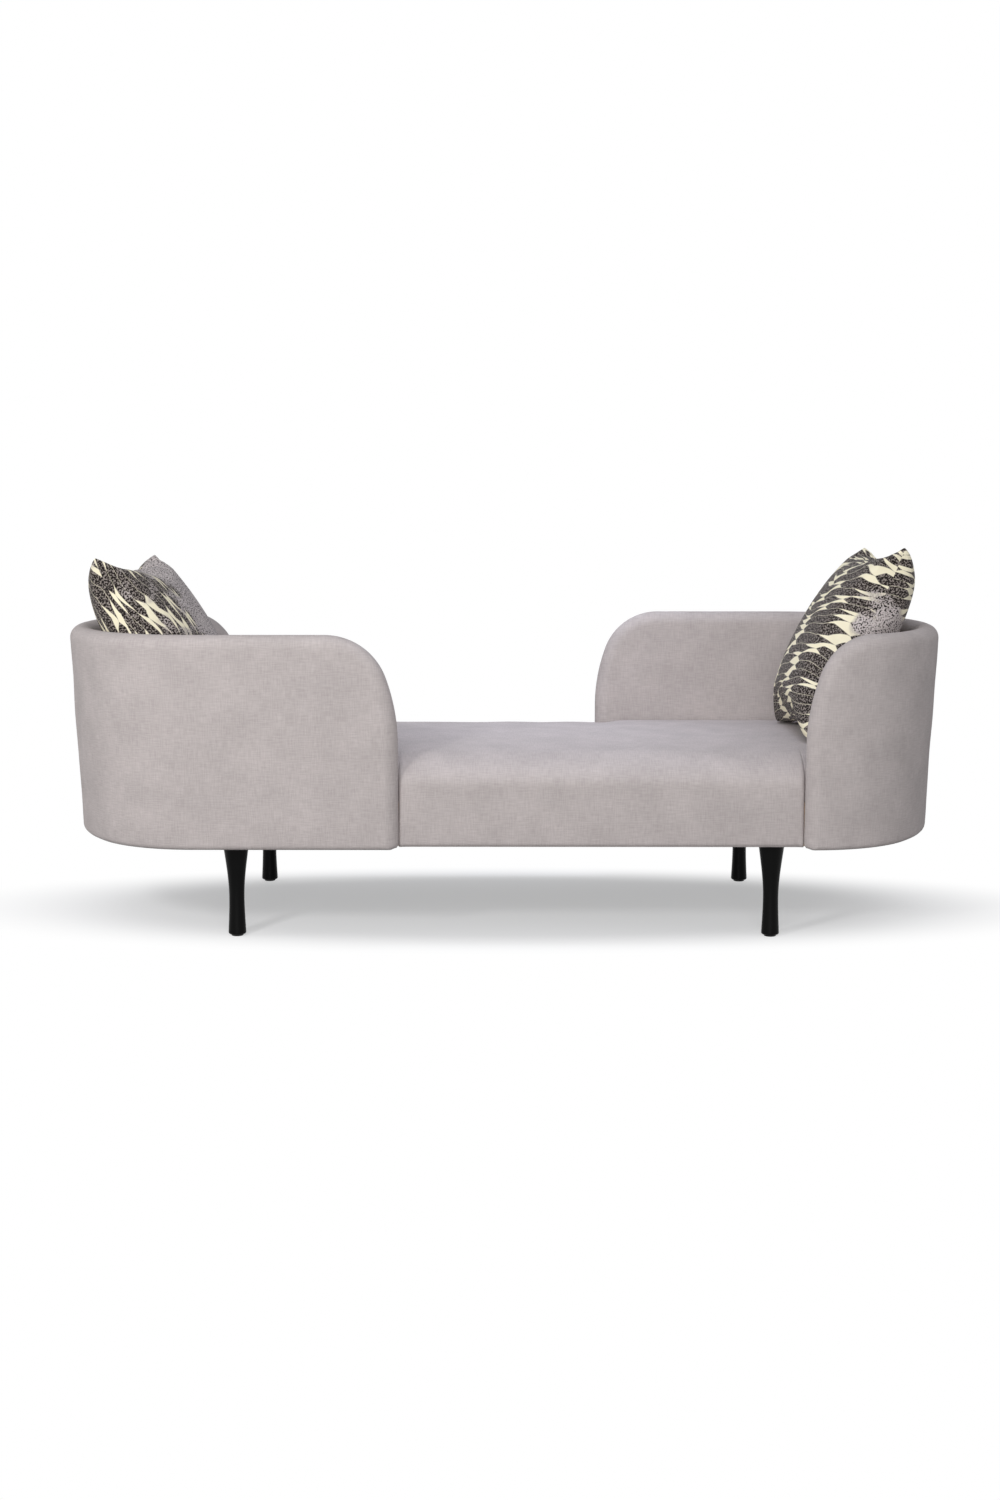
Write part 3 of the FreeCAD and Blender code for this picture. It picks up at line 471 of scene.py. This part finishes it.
def line_shares(span):
    """Shares of each line at which points lie: by a cosine in the half round and the hem, even between."""
    quarter = 1 - np.cos(np.linspace(0, math.pi / 2, ROUND_POINTS))
    near = np.minimum(WALL / 2 / span, RIM_SHARE) * quarter
    far = 1 - np.minimum(HEM_ROLL / span, HEM_SHARE) * quarter[::-2]
    count = int((RIM_Z - BASE_Z - WALL / 2) / STEP)
    between = np.linspace(0, 1, count)[1:-1] * (far[:, :1] - near[:, -1:]) + near[:, -1:]
    return np.concatenate([near, between, far], axis=1)


def flat_wall():
    """Points (length, height) on cubic curves from the edge to the hem, and the direction each starts in."""
    edge = flat_edge()
    travel = np.concatenate([[0], np.cumsum(np.hypot(*np.diff(edge, axis=0).T))])
    at = np.linspace(0, travel[-1], int(travel[-1] / STEP) + 1)
    start = np.stack([np.interp(at, travel, edge[:, 0]), np.interp(at, travel, edge[:, 1])], axis=1)
    tangent = np.gradient(start, axis=0)
    tangent /= np.linalg.norm(tangent, axis=1, keepdims=True)
    inward = np.stack([tangent[:, 1], -tangent[:, 0]], axis=1)
    plumb = [FAN, STATIONS[-1] - FAN]
    turned = np.interp(plumb, edge[STEEP:-STEEP, 0], travel[STEEP:-STEEP])
    foot_at = np.interp(at, [0, *turned, travel[-1]], [HEM_ROLL, *plumb, STATIONS[-1] - HEM_ROLL])
    foot = np.stack([foot_at, np.full_like(at, BASE_Z)], axis=1)
    span = np.maximum(np.linalg.norm(foot - start, axis=1), 1e-6)[:, None]
    t = line_shares(span)[..., None]
    first = start + inward * span / 3
    second = foot + np.array([0, 1]) * span / 3
    grid = (1 - t) ** 3 * start[:, None] + 3 * (1 - t) ** 2 * t * first[:, None]
    grid = grid + 3 * (1 - t) * t ** 2 * second[:, None] + t ** 3 * foot[:, None]
    return grid, inward


print("lines and points on a flat wall", flat_wall()[0].shape[:2])

# %% Faces of the wall
# Below CREASE_TOP the noses are more pointed: the power of their section falls by NOSE_CREASE.
NOSE_CREASE = 0.35
CREASE_TOP = 0.62
CREASE_FADE = 0.10
# Inner face and top of the rail that the lower wall stands against.
RAIL_FACE = 0.0378
RAIL_TOP = 0.326
SWELL_OUTSIDE = 0.0009
SWELL_INSIDE = 0.0007
SWELL_FROM_EDGE = 0.09
SWELL_FROM_HEM = 0.06
OUTSIDE_SEED = 3
INSIDE_SEED = 5


def wall_depths(length, up, distance):
    """Depths of both faces behind the rim line: half round at the edge, quarter round at the hem, a swell."""
    radius = WALL / 2
    into = radius - np.minimum(distance, radius)
    power = 2 - NOSE_CREASE * eased((CREASE_TOP - up) / CREASE_FADE)
    sunk = radius * (1 - (1 - (into / radius) ** power) ** (1 / power))
    hem = HEM_ROLL - np.minimum(up - BASE_Z, HEM_ROLL)
    turned = HEM_ROLL - np.sqrt(HEM_ROLL ** 2 - hem ** 2)
    fade = eased(distance / SWELL_FROM_EDGE) * eased((up - BASE_Z) / SWELL_FROM_HEM)
    outer = np.maximum(sunk, turned) - fade * ripple(length, up, SWELL_OUTSIDE, OUTSIDE_SEED)
    inner = WALL - sunk + fade * ripple(length, up, SWELL_INSIDE, INSIDE_SEED)
    inner = np.where(up > RAIL_TOP, inner, np.minimum(WALL - sunk, RAIL_FACE) - turned)
    return outer, np.maximum(inner, outer)


print("wall", WALL, "m thick, swelling by about", SWELL_OUTSIDE, "m")

# %% Bend the wall round the end
# Set-back of a point from the nose that it has nothing to do with.
FAR = 9.0
# Each face and each end is cut from its own place on the cloth.
INNER_CUT = np.array([0, 1.1])
RIGHT_CUT = np.array([3.1, 0.4])
STRIP_POINTS = 4


def end_sheets():
    """Outer face, inner face and strip under the hem of the left end, as grids with their cloth places."""
    grid, inward = flat_wall()
    length, up = grid[..., 0], grid[..., 1]
    x, y, across, ahead = plan_line(length)
    long_back = np.where(y < 0, x * -1 + LONG_NOSE_X, FAR)
    short_back = np.where(y > 0, x * -1 + SHORT_NOSE_X, FAR)
    distance = np.minimum(edge_distance(long_back, up), edge_distance(short_back, up))
    distance[:, 0] = 0
    outer, inner = wall_depths(length, up, distance)
    drift = FLARE * (up - RIM_Z) / (RIM_Z - BASE_Z)

    def carried(depth):
        """Points that lie depth behind the rim line, which drifts inward on its way down."""
        return np.stack([x + across * (drift - depth), y + ahead * (drift - depth), up], axis=-1)

    radius = WALL / 2
    into = radius - np.minimum(distance, radius)
    extra = radius * np.arcsin(into / radius) - into
    cloth = grid - inward[:, None] * extra[..., None]
    bottom = np.linspace(outer[:, -1], inner[:, -1], STRIP_POINTS, axis=1)
    reach = drift[:, -1:] - bottom
    under = [x[:, -1:] + across[:, -1:] * reach, y[:, -1:] + ahead[:, -1:] * reach, up[:, -1:] + 0 * reach]
    strip = [cloth[:, -1:, 0] + 0 * reach, BASE_Z - bottom]
    faces = [(carried(outer), cloth), (carried(inner), cloth + INNER_CUT)]
    return faces + [(np.stack(under, axis=-1), np.stack(strip, axis=-1))]


sheets = end_sheets()
half_turn = np.array([-1, -1, 1])
left_end = sew("left_end", sheets, linen)
right_end = sew("right_end", [(grid * half_turn, cloth + RIGHT_CUT) for grid, cloth in sheets], linen)
for side, made in (("left", left_end), ("right", right_end)):
    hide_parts(side + "_end_cover", side + "_end_foam")
    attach(made, "chaise")

# %% [markdown]
# ## The tight seat
#
# The seat fills the space between the two walls. Where no arm stands in front of it the cover rolls over a
# soft front edge and runs down over the rail as an apron. Elsewhere it is tucked in beside the wall. A
# bevelled block could stand in for it, but it would leave gaps at the round ends. So half of the seat is a
# section that changes along the chaise, from the middle of the top, over the edge, down and back
# underneath, and a half turn about the upright axis gives the other half.

# %% Edge line of the seat, in metres
# The wall's lean at the height of the seat, and 2 mm of room.
LEAN_ROOM = 0.0142
SIDE_GAP = WALL + LEAN_ROOM


def tucked_reach(x):
    """How far the tucked seat reaches forward of the middle at x, along arcs inside those of the wall."""
    x = np.abs(x)
    beyond = np.maximum(x - CORNER_X, 0)
    corner = CORNER_Y + np.sqrt(np.maximum((CORNER_RADIUS - SIDE_GAP) ** 2 - beyond ** 2, 0))
    end = np.sqrt(np.maximum((END_RADIUS - SIDE_GAP) ** 2 - (x - END_X) ** 2, 0))
    meet = END_X + (END_RADIUS - SIDE_GAP) * math.sin(CORNER_SWEEP)
    return np.where(x < meet, corner, end)


def tucked_distance(x, y):
    """Distance in plan from the tucked seat's edge: the nearest arc's radius less the way to its centre."""
    x, y = np.abs(x), np.abs(y)
    corner = CORNER_RADIUS - SIDE_GAP - np.hypot(np.maximum(x - CORNER_X, 0), y - CORNER_Y)
    end = END_RADIUS - SIDE_GAP - np.hypot(x - END_X, y)
    in_end = np.arctan2(np.maximum(x - END_X, 0), np.maximum(y, 1e-9)) > CORNER_SWEEP
    return np.where(in_end, end, np.where(x > CORNER_X, corner, HALF_DEPTH - SIDE_GAP - y))


print("the tucked seat is", (2 * tucked_reach(0.0)).round(3), "m deep")

# %% Sections along the seat
SEAT_FACE = 0.388
# The front shows between these places, and turns in beside the noses by a round of this radius.
EXPOSED = (-0.2387, 0.6827)
CREASE = 0.011
# Overlap of the seat and the nose in front of it.
NOSE_LAP = 0.004
# Stretch at each tip where the sections lie closer.
TIP = 0.06
SIDE_POINTS = 96
TIP_POINTS = 24
CREASE_POINTS = 8


def seat_stations():
    """Stations along X, closer together at the noses and the tips, the same on both sides of the middle."""
    tip = END_X + END_RADIUS - SIDE_GAP
    close = CREASE * (1 - np.cos(np.linspace(0, math.pi / 2, CREASE_POINTS)))
    side = [np.linspace(0, tip - TIP, SIDE_POINTS), tip - TIP * np.linspace(1, 0, TIP_POINTS) ** 2]
    for nose in EXPOSED:
        side += [abs(nose) + close, abs(nose) - close]
    return np.unique(np.concatenate([np.concatenate(side), -np.concatenate(side)]).round(6))


def seat_sections():
    """Places of the sections as a column, those at a nose twice, and whether each has the shown front."""
    low, high = EXPOSED
    x = np.sort(np.concatenate([seat_stations(), EXPOSED]))
    shown = (x >= low) & (x <= high)
    first, last = np.argmax(shown), len(x) - 1 - np.argmax(shown[::-1])
    shown[first] = shown[last] = False
    return x[:, None], shown[:, None]


def seat_edge(x, shown):
    """Reach of each section, how far it lies inside the crease, and how far behind the nose."""
    low, high = EXPOSED
    inset = np.clip(CREASE - np.minimum(x - low, high - x), 0, CREASE)
    face = SEAT_FACE - (CREASE - np.sqrt(CREASE ** 2 - inset ** 2))
    behind = np.maximum(np.maximum(low - x, x - high), 0)
    nose = WALL / 2
    off_nose = np.sqrt(nose ** 2 - (nose - np.minimum(behind, nose)) ** 2)
    filled = np.where(behind < nose, np.minimum(SEAT_FACE - CREASE, SEAT_FACE + NOSE_LAP - off_nose), 0)
    return np.where(shown, face, np.maximum(tucked_reach(x), filled)), inset, behind


print("sections along the seat", len(seat_stations()))

# %% Top of the seat
SEAT_TOP = 0.433
SEAT_CROWN = 0.014
# Depth, height and power of the rolled front edge. Behind a nose it fades to a plain tuck.
ROLL_DEEP = 0.13
ROLL_HIGH = 0.065
ROLL_POWER = 2.2
ROLL_FADE = 0.08
TUCK = 0.012
# Largest share of a section's reach that its edge may take.
ROLL_SHARE = 0.9
SEAT_SWELL = 0.0008
SEAT_SWELL_FADE = 0.12
SEAT_SEED = 11
FLAT_POINTS = 46
ROLL_POINTS = 21


def seat_top(x, shown, reach, behind):
    """Way from the middle and height over the top: a parabola less a superellipse edge, plus a swell."""
    roll = eased(1 - behind / ROLL_FADE)
    deep = np.minimum(TUCK + (ROLL_DEEP - TUCK) * roll, np.maximum(reach * ROLL_SHARE, 1e-5))
    tall = TUCK + (ROLL_HIGH - TUCK) * roll
    flat = (reach - deep) * np.linspace(0, 1, FLAT_POINTS)[None, :-1]
    arc = np.linspace(0, math.pi / 2, ROLL_POINTS)[None]
    over = np.concatenate([flat, reach - deep * (1 - np.sin(arc))], axis=1)
    room = np.where(shown, reach - over, tucked_distance(x, over) + reach - tucked_reach(x))
    room = np.clip(room, 0, deep)
    drop = tall * (1 - (1 - ((deep - room) / deep) ** ROLL_POWER) ** (1 / ROLL_POWER))
    both_ways = ripple(x, -over, SEAT_SWELL, SEAT_SEED) + ripple(-x, over, SEAT_SWELL, SEAT_SEED)
    swell = both_ways * eased((reach - over) / SEAT_SWELL_FADE)
    return over, SEAT_TOP - SEAT_CROWN * (over / SEAT_FACE) ** 2 - drop + swell


print("seat", SEAT_TOP, "m high")

# %% Front of the seat
SEAT_LOW = 0.322
APRON_Z = 0.217
APRON_THICK = 0.0030
# The apron draws in by this much on its way down, and turns under by a quarter round.
BELLY = 0.007
HEM = 0.009
# Above 1 the points down the front lie closer near the hem.
CLOSER = 1.6
FRONT_POINTS = 31
BEHIND_POINTS = 12
UNDER_POINTS = 20


def seat_front(shown, reach, inset, edge):
    """Way from the middle and height, from the edge down to the foot, up behind the apron and back inside."""
    foot = np.where(shown, APRON_Z, SEAT_LOW)
    lean = np.where(shown, 0.0, FLARE / (RIM_Z - BASE_Z))
    down = foot + (edge - foot) * np.linspace(1, 0, FRONT_POINTS)[None, 1:] ** CLOSER
    sunk = (edge - down) / (edge - foot)
    drawn_in = np.where(shown, BELLY * sunk ** 2 * (1 - inset / CREASE), 0)
    straight = np.maximum(reach + lean * (down - edge), 0) - drawn_in
    hem = np.where(shown, np.clip(HEM - (down - foot), 0, HEM), 0)
    front = straight - (HEM - np.sqrt(HEM ** 2 - hem ** 2))
    thick = np.where(shown, APRON_THICK, 0)
    back_up = foot + (SEAT_LOW - foot) * np.linspace(0, 1, BEHIND_POINTS)[None]
    inside = np.maximum(straight[:, -1:] - thick, 0) + np.zeros_like(back_up)
    below = inside[:, -1:] * np.linspace(1, 0, UNDER_POINTS)[None, 1:]
    way = np.concatenate([front, inside, below], axis=1)
    return way, np.concatenate([down, back_up, np.full_like(below, SEAT_LOW)], axis=1)


def seat_half():
    """Front half of the seat as a grid of sections with its cloth places."""
    x, shown = seat_sections()
    reach, inset, behind = seat_edge(x, shown)
    over, top = seat_top(x, shown, reach, behind)
    front, low = seat_front(shown, reach, inset, top[:, -1:])
    y = -np.concatenate([over, front], axis=1)
    z = np.concatenate([top, low], axis=1)
    steps = np.hypot(np.diff(y), np.diff(z))
    along = np.concatenate([np.zeros_like(x), np.cumsum(steps, axis=1)], axis=1)
    wide = x + np.zeros_like(y)
    return np.stack([wide, y, z], axis=-1), np.stack([wide, -along], axis=-1)


half, cloth = seat_half()
seat = sew("seat", [(half, cloth), (half * half_turn, cloth * -1)], linen)
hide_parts("seat_cover", "seat_foam", "front_border_foam", "back_border_foam")
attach(seat, "chaise")

# %% [markdown]
# ## Loose cushions
#
# A scatter cushion is two square panels sewn together all round and stuffed. Each panel bulges most in the
# middle and stays full almost to the seam, and the outline runs out into four blunt ears. Two flat sheets
# could be blown up from nothing, but that is slow and hard to steer. So a formula gives the stuffed form,
# with panels cut a little larger than the stuffing fills. A short cloth run, with the lower half of the
# seam held, then lets the slack find its own soft folds.

# %% Form of one cushion, in metres
CUSHION_MIDDLE = 0.222
CUSHION_EAR = 0.0275
CUSHION_BLUNT = 0.003
CUSHION_CURL = 0.022
CUSHION_THICK = 0.091
# Power of the bulge: the lower, the fuller near the seam.
CUSHION_FULL = 0.40
CELLS = 76
# Above 1 the grid lines lie closer near the seam.
SEAM_CLOSER = 1.5
BACK_CUT = np.array([0.0, 0.7])


def run_length(grid, axis):
    """Length of cloth from a panel's middle line to each of its points, along one direction of the grid."""
    steps = np.linalg.norm(np.diff(grid, axis=axis), axis=-1)
    length = np.insert(np.cumsum(steps, axis=axis), 0, 0, axis=axis)
    return length - np.take(length, [CELLS // 2], axis=axis)


def cushion_panels():
    """Both panels as grids with cloth places: thickness times (1 - u^2)(1 - v^2), raised to the fullness."""
    line = np.linspace(-1, 1, CELLS + 1)
    line = np.sign(line) * (1 - (1 - np.abs(line)) ** SEAM_CLOSER)
    u, v = np.meshgrid(line, line, indexing="ij")
    # The tips of the ears are blunt, and the upper two curl forward.
    blunt = CUSHION_BLUNT * (u * v) ** 12
    x = u * (CUSHION_MIDDLE + CUSHION_EAR * v ** 2 - blunt)
    y = v * (CUSHION_MIDDLE + CUSHION_EAR * u ** 2 - blunt)
    z = CUSHION_THICK * ((1 - u ** 2) * (1 - v ** 2)) ** CUSHION_FULL
    curl = CUSHION_CURL * u ** 6 * np.maximum(v, 0) ** 3
    front = np.stack([x, y, curl + z], axis=-1)
    cloth = np.stack([run_length(front, 0), run_length(front, 1)], axis=-1)
    back = np.stack([x, y, curl - z], axis=-1)
    return [(front, cloth), (back, cloth * np.array([1, -1]) + BACK_CUT)]


cushion = sew("left_cushion_pad", cushion_panels(), jacquard)

# %% Let the slack fold
CLOTH_FRAMES = 20
CLOTH_SLACK = 0.03
FARTHEST_MOVE = 0.014


def mesh_points(mesh):
    """Vertex places of a mesh as an array."""
    points = np.empty(len(mesh.vertices) * 3)
    mesh.vertices.foreach_get("co", points)
    return points.reshape(-1, 3)


def slackened(cushion):
    """Points after a run as cloth, cut large and blown up, the flat seam held; long moves are cut short."""
    start = mesh_points(cushion.data)
    seam = cushion.vertex_groups.new(name="seam")
    seam.add(np.flatnonzero(np.abs(start[:, 2]) < 1e-6).tolist(), 1.0, "REPLACE")
    cloth = cushion.modifiers.new("slack", "CLOTH")
    cloth.collision_settings.use_collision = False
    settings = cloth.settings
    settings.quality = 6
    settings.mass = 0.2
    settings.tension_stiffness = settings.compression_stiffness = 20
    settings.shear_stiffness = 8
    settings.bending_stiffness = 0.5
    settings.air_damping = 2
    settings.use_pressure = True
    settings.uniform_pressure_force = 3
    settings.shrink_min = -CLOTH_SLACK
    settings.vertex_group_mass = "seam"
    settings.effector_weights.gravity = 0
    scene = bpy.context.scene
    for number in range(1, CLOTH_FRAMES + 1):
        scene.frame_set(number)
    solved = cushion.evaluated_get(bpy.context.evaluated_depsgraph_get())
    moved = mesh_points(solved.data) - start
    cushion.modifiers.remove(cloth)
    cushion.vertex_groups.remove(seam)
    scene.frame_set(1)
    far = np.linalg.norm(moved, axis=1, keepdims=True)
    print("cloth moved", far.mean().round(4), "m on average,", far.max().round(4), "at most")
    return start + moved * np.minimum(1, FARTHEST_MOVE / np.maximum(far, 1e-9))


stuffed = slackened(cushion)
print("stuffed cushion", (stuffed.max(axis=0) - stuffed.min(axis=0)).round(3))

# %% Lean the cushions into the ends
# Room left between a cushion and what presses it.
SEAT_ROOM = 0.0012
WALL_ROOM = 0.001
PLACES = {
    # centre, lean, turn, roll in degrees, side of the chaise
    "left": ((-0.804, -0.042, 0.634), 29.6, 5.4, 1.3, -1),
    "right": ((0.826, 0.048, 0.650), 28.4, 0.0, -2.3, 1),
}


def leaned(points, centre, lean, turn, roll, side):
    """Points carried from the flat cushion to its place: rolled, leaned back, turned about Z and moved."""
    lean, turn, roll = [math.radians(angle) for angle in (lean, turn, roll)]
    facing = np.array([-side * math.cos(turn), -math.sin(turn), 0])
    upright = np.array([0, 0, 1.0])
    across = np.cross(facing, upright)
    up = upright * math.cos(lean) - facing * math.sin(lean)
    out = facing * math.cos(lean) + upright * math.sin(lean)
    first = across * math.cos(roll) + up * math.sin(roll)
    second = up * math.cos(roll) - across * math.sin(roll)
    return np.array(centre) + points @ np.stack([first, second, out])


def settled(points):
    """Points pressed out of the seat and out of the wall, whose section is a slab with a round top."""
    x, y, z = points.T
    z = np.maximum(z, SEAT_TOP - SEAT_CROWN * (y / SEAT_FACE) ** 2 + SEAT_ROOM)
    step, half = 1e-4, WALL / 2
    slope_x = (tucked_distance(x + step, y) - tucked_distance(x - step, y)) / (2 * step)
    slope_y = (tucked_distance(x, y + step) - tucked_distance(x, y - step)) / (2 * step)
    drift = FLARE * (z - RIM_Z) / (RIM_Z - BASE_Z)
    beside = tucked_distance(x, y) + SIDE_GAP + drift - half
    above = np.maximum(z - (RIM_Z - half), 0)
    away = np.hypot(beside, above)
    push = np.maximum(half + WALL_ROOM - away, 0) / np.maximum(away, 1e-6)
    return np.stack([x + slope_x * beside * push, y + slope_y * beside * push, z + above * push], axis=-1)


places = {name: settled(leaned(stuffed, *place)) for name, place in PLACES.items()}
print("cushion tops at", [round(float(points[:, 2].max()), 3) for points in places.values()])

# %% Where the heather shows
# Limits on the flat panels: where a fade ends and how far it runs, in metres.
NEAR_LIMIT, NEAR_FADE = 0.15, 0.22
STRIP_LIMIT, STRIP_FADE = -0.17, 0.07
TOP_LIMIT, TOP_FADE = 0.17, 0.10
MIDDLE_FADE = 0.06
LEAST_HEATHER = 0.25
ON_SEAM = 1e-4

across, up, thick = stuffed.T
far_half = LEAST_HEATHER + (1 - LEAST_HEATHER) * eased((NEAR_LIMIT - across) / NEAR_FADE)
upper_half = eased((TOP_LIMIT - up) / TOP_FADE) * eased(up / MIDDLE_FADE)
near_strip = eased((STRIP_LIMIT - across) / STRIP_FADE)
heathers = {
    # the far half of the left cushion's front panel; the right cushion's back panel and the strip beside it
    "left": np.where(thick > -ON_SEAM, far_half, 0.0),
    "right": upper_half * np.where(thick < ON_SEAM, 1.0, near_strip),
}
print("heather on average", {name: round(float(values.mean()), 2) for name, values in heathers.items()})

# %% Set the cushions down
other = cushion.copy()
other.data = cushion.data.copy()
other.name = other.data.name = "right_cushion_pad"
bpy.context.scene.collection.objects.link(other)
# The left cushion's panels are cut across the cloth, so its strokes stand upright.
layer = cushion.data.uv_layers["weave"]
weave = np.empty(len(layer.data) * 2)
layer.data.foreach_get("uv", weave)
across, along = weave.reshape(-1, 2).T
layer.data.foreach_set("uv", np.stack([-along, across], axis=1).ravel())

for name, made in (("left", cushion), ("right", other)):
    made.data.vertices.foreach_set("co", places[name].ravel())
    made.data.attributes.new("heather", "FLOAT", "POINT").data.foreach_set("value", heathers[name])
    shell = bmesh.new()
    shell.from_mesh(made.data)
    bmesh.ops.recalc_face_normals(shell, faces=shell.faces)
    shell.to_mesh(made.data)
    shell.free()
    smooth = made.modifiers.new("smooth", "SUBSURF")
    smooth.levels = smooth.render_levels = 1
    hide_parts(name + "_cushion_cover", name + "_cushion_filling")
    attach(made, name + "_cushion")
    print(made.name, places[name].min(axis=0).round(3), places[name].max(axis=0).round(3))

# %% [markdown]
# ## Studio
#
# The picture is a cut-out on white, with only the shadow kept. The camera sees pale paper that turns into
# plain white further out. Light that the chaise scatters meets a darker floor, so the covers fall off
# towards the hem. A small lamp at the front left casts the arm's shadow on the seat. A broad softbox
# behind the camera and the white room fill it, two weak softboxes lift the sides of the ends, and a cool
# lamp hangs over the seat.

# %% Floor
PAPER_SIZE = 40
# The paper's white starts and is full on ellipses round the chaise: how X and Y are scaled, and two radii.
ELLIPSE = (0.73, 2.0, 0.0)
WHITE_FROM, WHITE_BY = 0.62, 1.08
LEAST_WHITE = 0.38


def seen(tree):
    """1 for what the camera sees, also in gloss or through glass, and 0 for light that surfaces scatter."""
    path = add(tree, "LightPath")
    plain = add(tree, "Math", {0: path["Is Camera Ray"], 1: path["Is Glossy Ray"]}, operation="MAXIMUM")[0]
    return add(tree, "Math", {0: plain, 1: path["Is Transmission Ray"]}, operation="MAXIMUM")[0]


bpy.ops.mesh.primitive_plane_add(size=PAPER_SIZE)
floor = bpy.context.object
floor.name = "studio_floor"
paper, tree, shader = finish_of("white_paper", Roughness=0.9, Specular_IOR_Level=0.0)
view = seen(tree)
tone = add(tree, "Mix", {0: view, 6: linear("9C9C9C"), 7: linear("F2F2F2")}, data_type="RGBA")[2]
tree.links.new(tone, shader.inputs["Base Color"])
place = add(tree, "TexCoord")["Object"]
stretch = add(tree, "VectorMath", {0: place, 1: ELLIPSE}, operation="MULTIPLY")[0]
radius = add(tree, "VectorMath", {0: stretch}, operation="LENGTH")["Value"]
limits = {0: radius, 1: WHITE_FROM, 2: WHITE_BY, 3: LEAST_WHITE}
away = add(tree, "MapRange", limits, interpolation_type="SMOOTHSTEP")[0]
white_out = add(tree, "Math", {0: away, 1: view}, operation="MULTIPLY")[0]
glow = add(tree, "Emission", {"Strength": 1.0})[0]
mixed = add(tree, "MixShader", {0: white_out, 1: shader.outputs[0], 2: glow})[0]
tree.links.new(mixed, tree.nodes["Material Output"].inputs["Surface"])
floor.data.materials.append(paper)
print("floor of", paper.name)

# %% Room
ROOM_TINT = (0.92, 0.94, 1, 1)
ROOM_LIGHT = 0.51

room = bpy.data.worlds.new("white_room")
bpy.context.scene.world = room
room.use_nodes = True
tree = room.node_tree
soft = add(tree, "Background", {"Color": ROOM_TINT, "Strength": ROOM_LIGHT})[0]
white = add(tree, "Background", {"Color": (1, 1, 1, 1), "Strength": 1.0})[0]
mixed = add(tree, "MixShader", {0: seen(tree), 1: soft, 2: white})[0]
tree.links.new(mixed, tree.nodes["World Output"].inputs["Surface"])
print("made", room.name)

# %% Lamps
LAMPS = {
    # name: place, point it looks at, width, spread of its beam in degrees, power and colour
    "key_lamp": ((-1.75, -3.0, 2.0), (-0.1, 0.0, 0.4), 0.5, 180, 42.0, "FFFFFF"),
    "front_softbox": ((-0.3, -5.6, 1.9), (0.0, 0.0, 0.4), 3.2, 180, 148.0, "FFFFFF"),
    "left_softbox": ((-2.6, -0.4, 0.9), (-0.95, -0.1, 0.45), 1.0, 90, 2.0, "FFFFFF"),
    "right_softbox": ((3.2, -1.5, 1.6), (0.8, 0.0, 0.45), 2.0, 180, 8.0, "FFFFFF"),
    "seat_lamp": ((0.08, 0.15, 2.5), (0.13, 0.15, 0.43), 0.8, 50, 2.7, "E2EAFF"),
}
for name, (spot, target, width, spread, power, colour) in LAMPS.items():
    lamp = bpy.data.lights.new(name, "AREA")
    lamp.size = width
    lamp.spread = math.radians(spread)
    lamp.energy = power
    lamp.color = linear(colour)[:3]
    made = bpy.data.objects.new(name, lamp)
    made.location = spot
    look = Vector(target) - Vector(spot)
    made.rotation_euler = look.to_track_quat("-Z", "Y").to_euler()
    bpy.context.scene.collection.objects.link(made)
print("lamps", len(LAMPS))

# %% Camera
# Place in metres, tilt below the level and turn to the left in degrees, lens and sensor in millimetres.
CAMERA_PLACE = (0.0127, -4.9854, 1.0533)
CAMERA_TILT = 7.589
CAMERA_TURN = 0.258
FOCAL_LENGTH = 49.34
SENSOR = 36

lens = bpy.data.cameras.new("photo_camera")
lens.lens = FOCAL_LENGTH
lens.sensor_width = SENSOR
camera = bpy.data.objects.new("photo_camera", lens)
camera.location = CAMERA_PLACE
camera.rotation_euler = (math.radians(90 - CAMERA_TILT), 0, math.radians(CAMERA_TURN))
bpy.context.scene.collection.objects.link(camera)
bpy.context.scene.camera = camera
bpy.context.scene.view_settings.view_transform = "Standard"
print("camera", FOCAL_LENGTH, "mm")
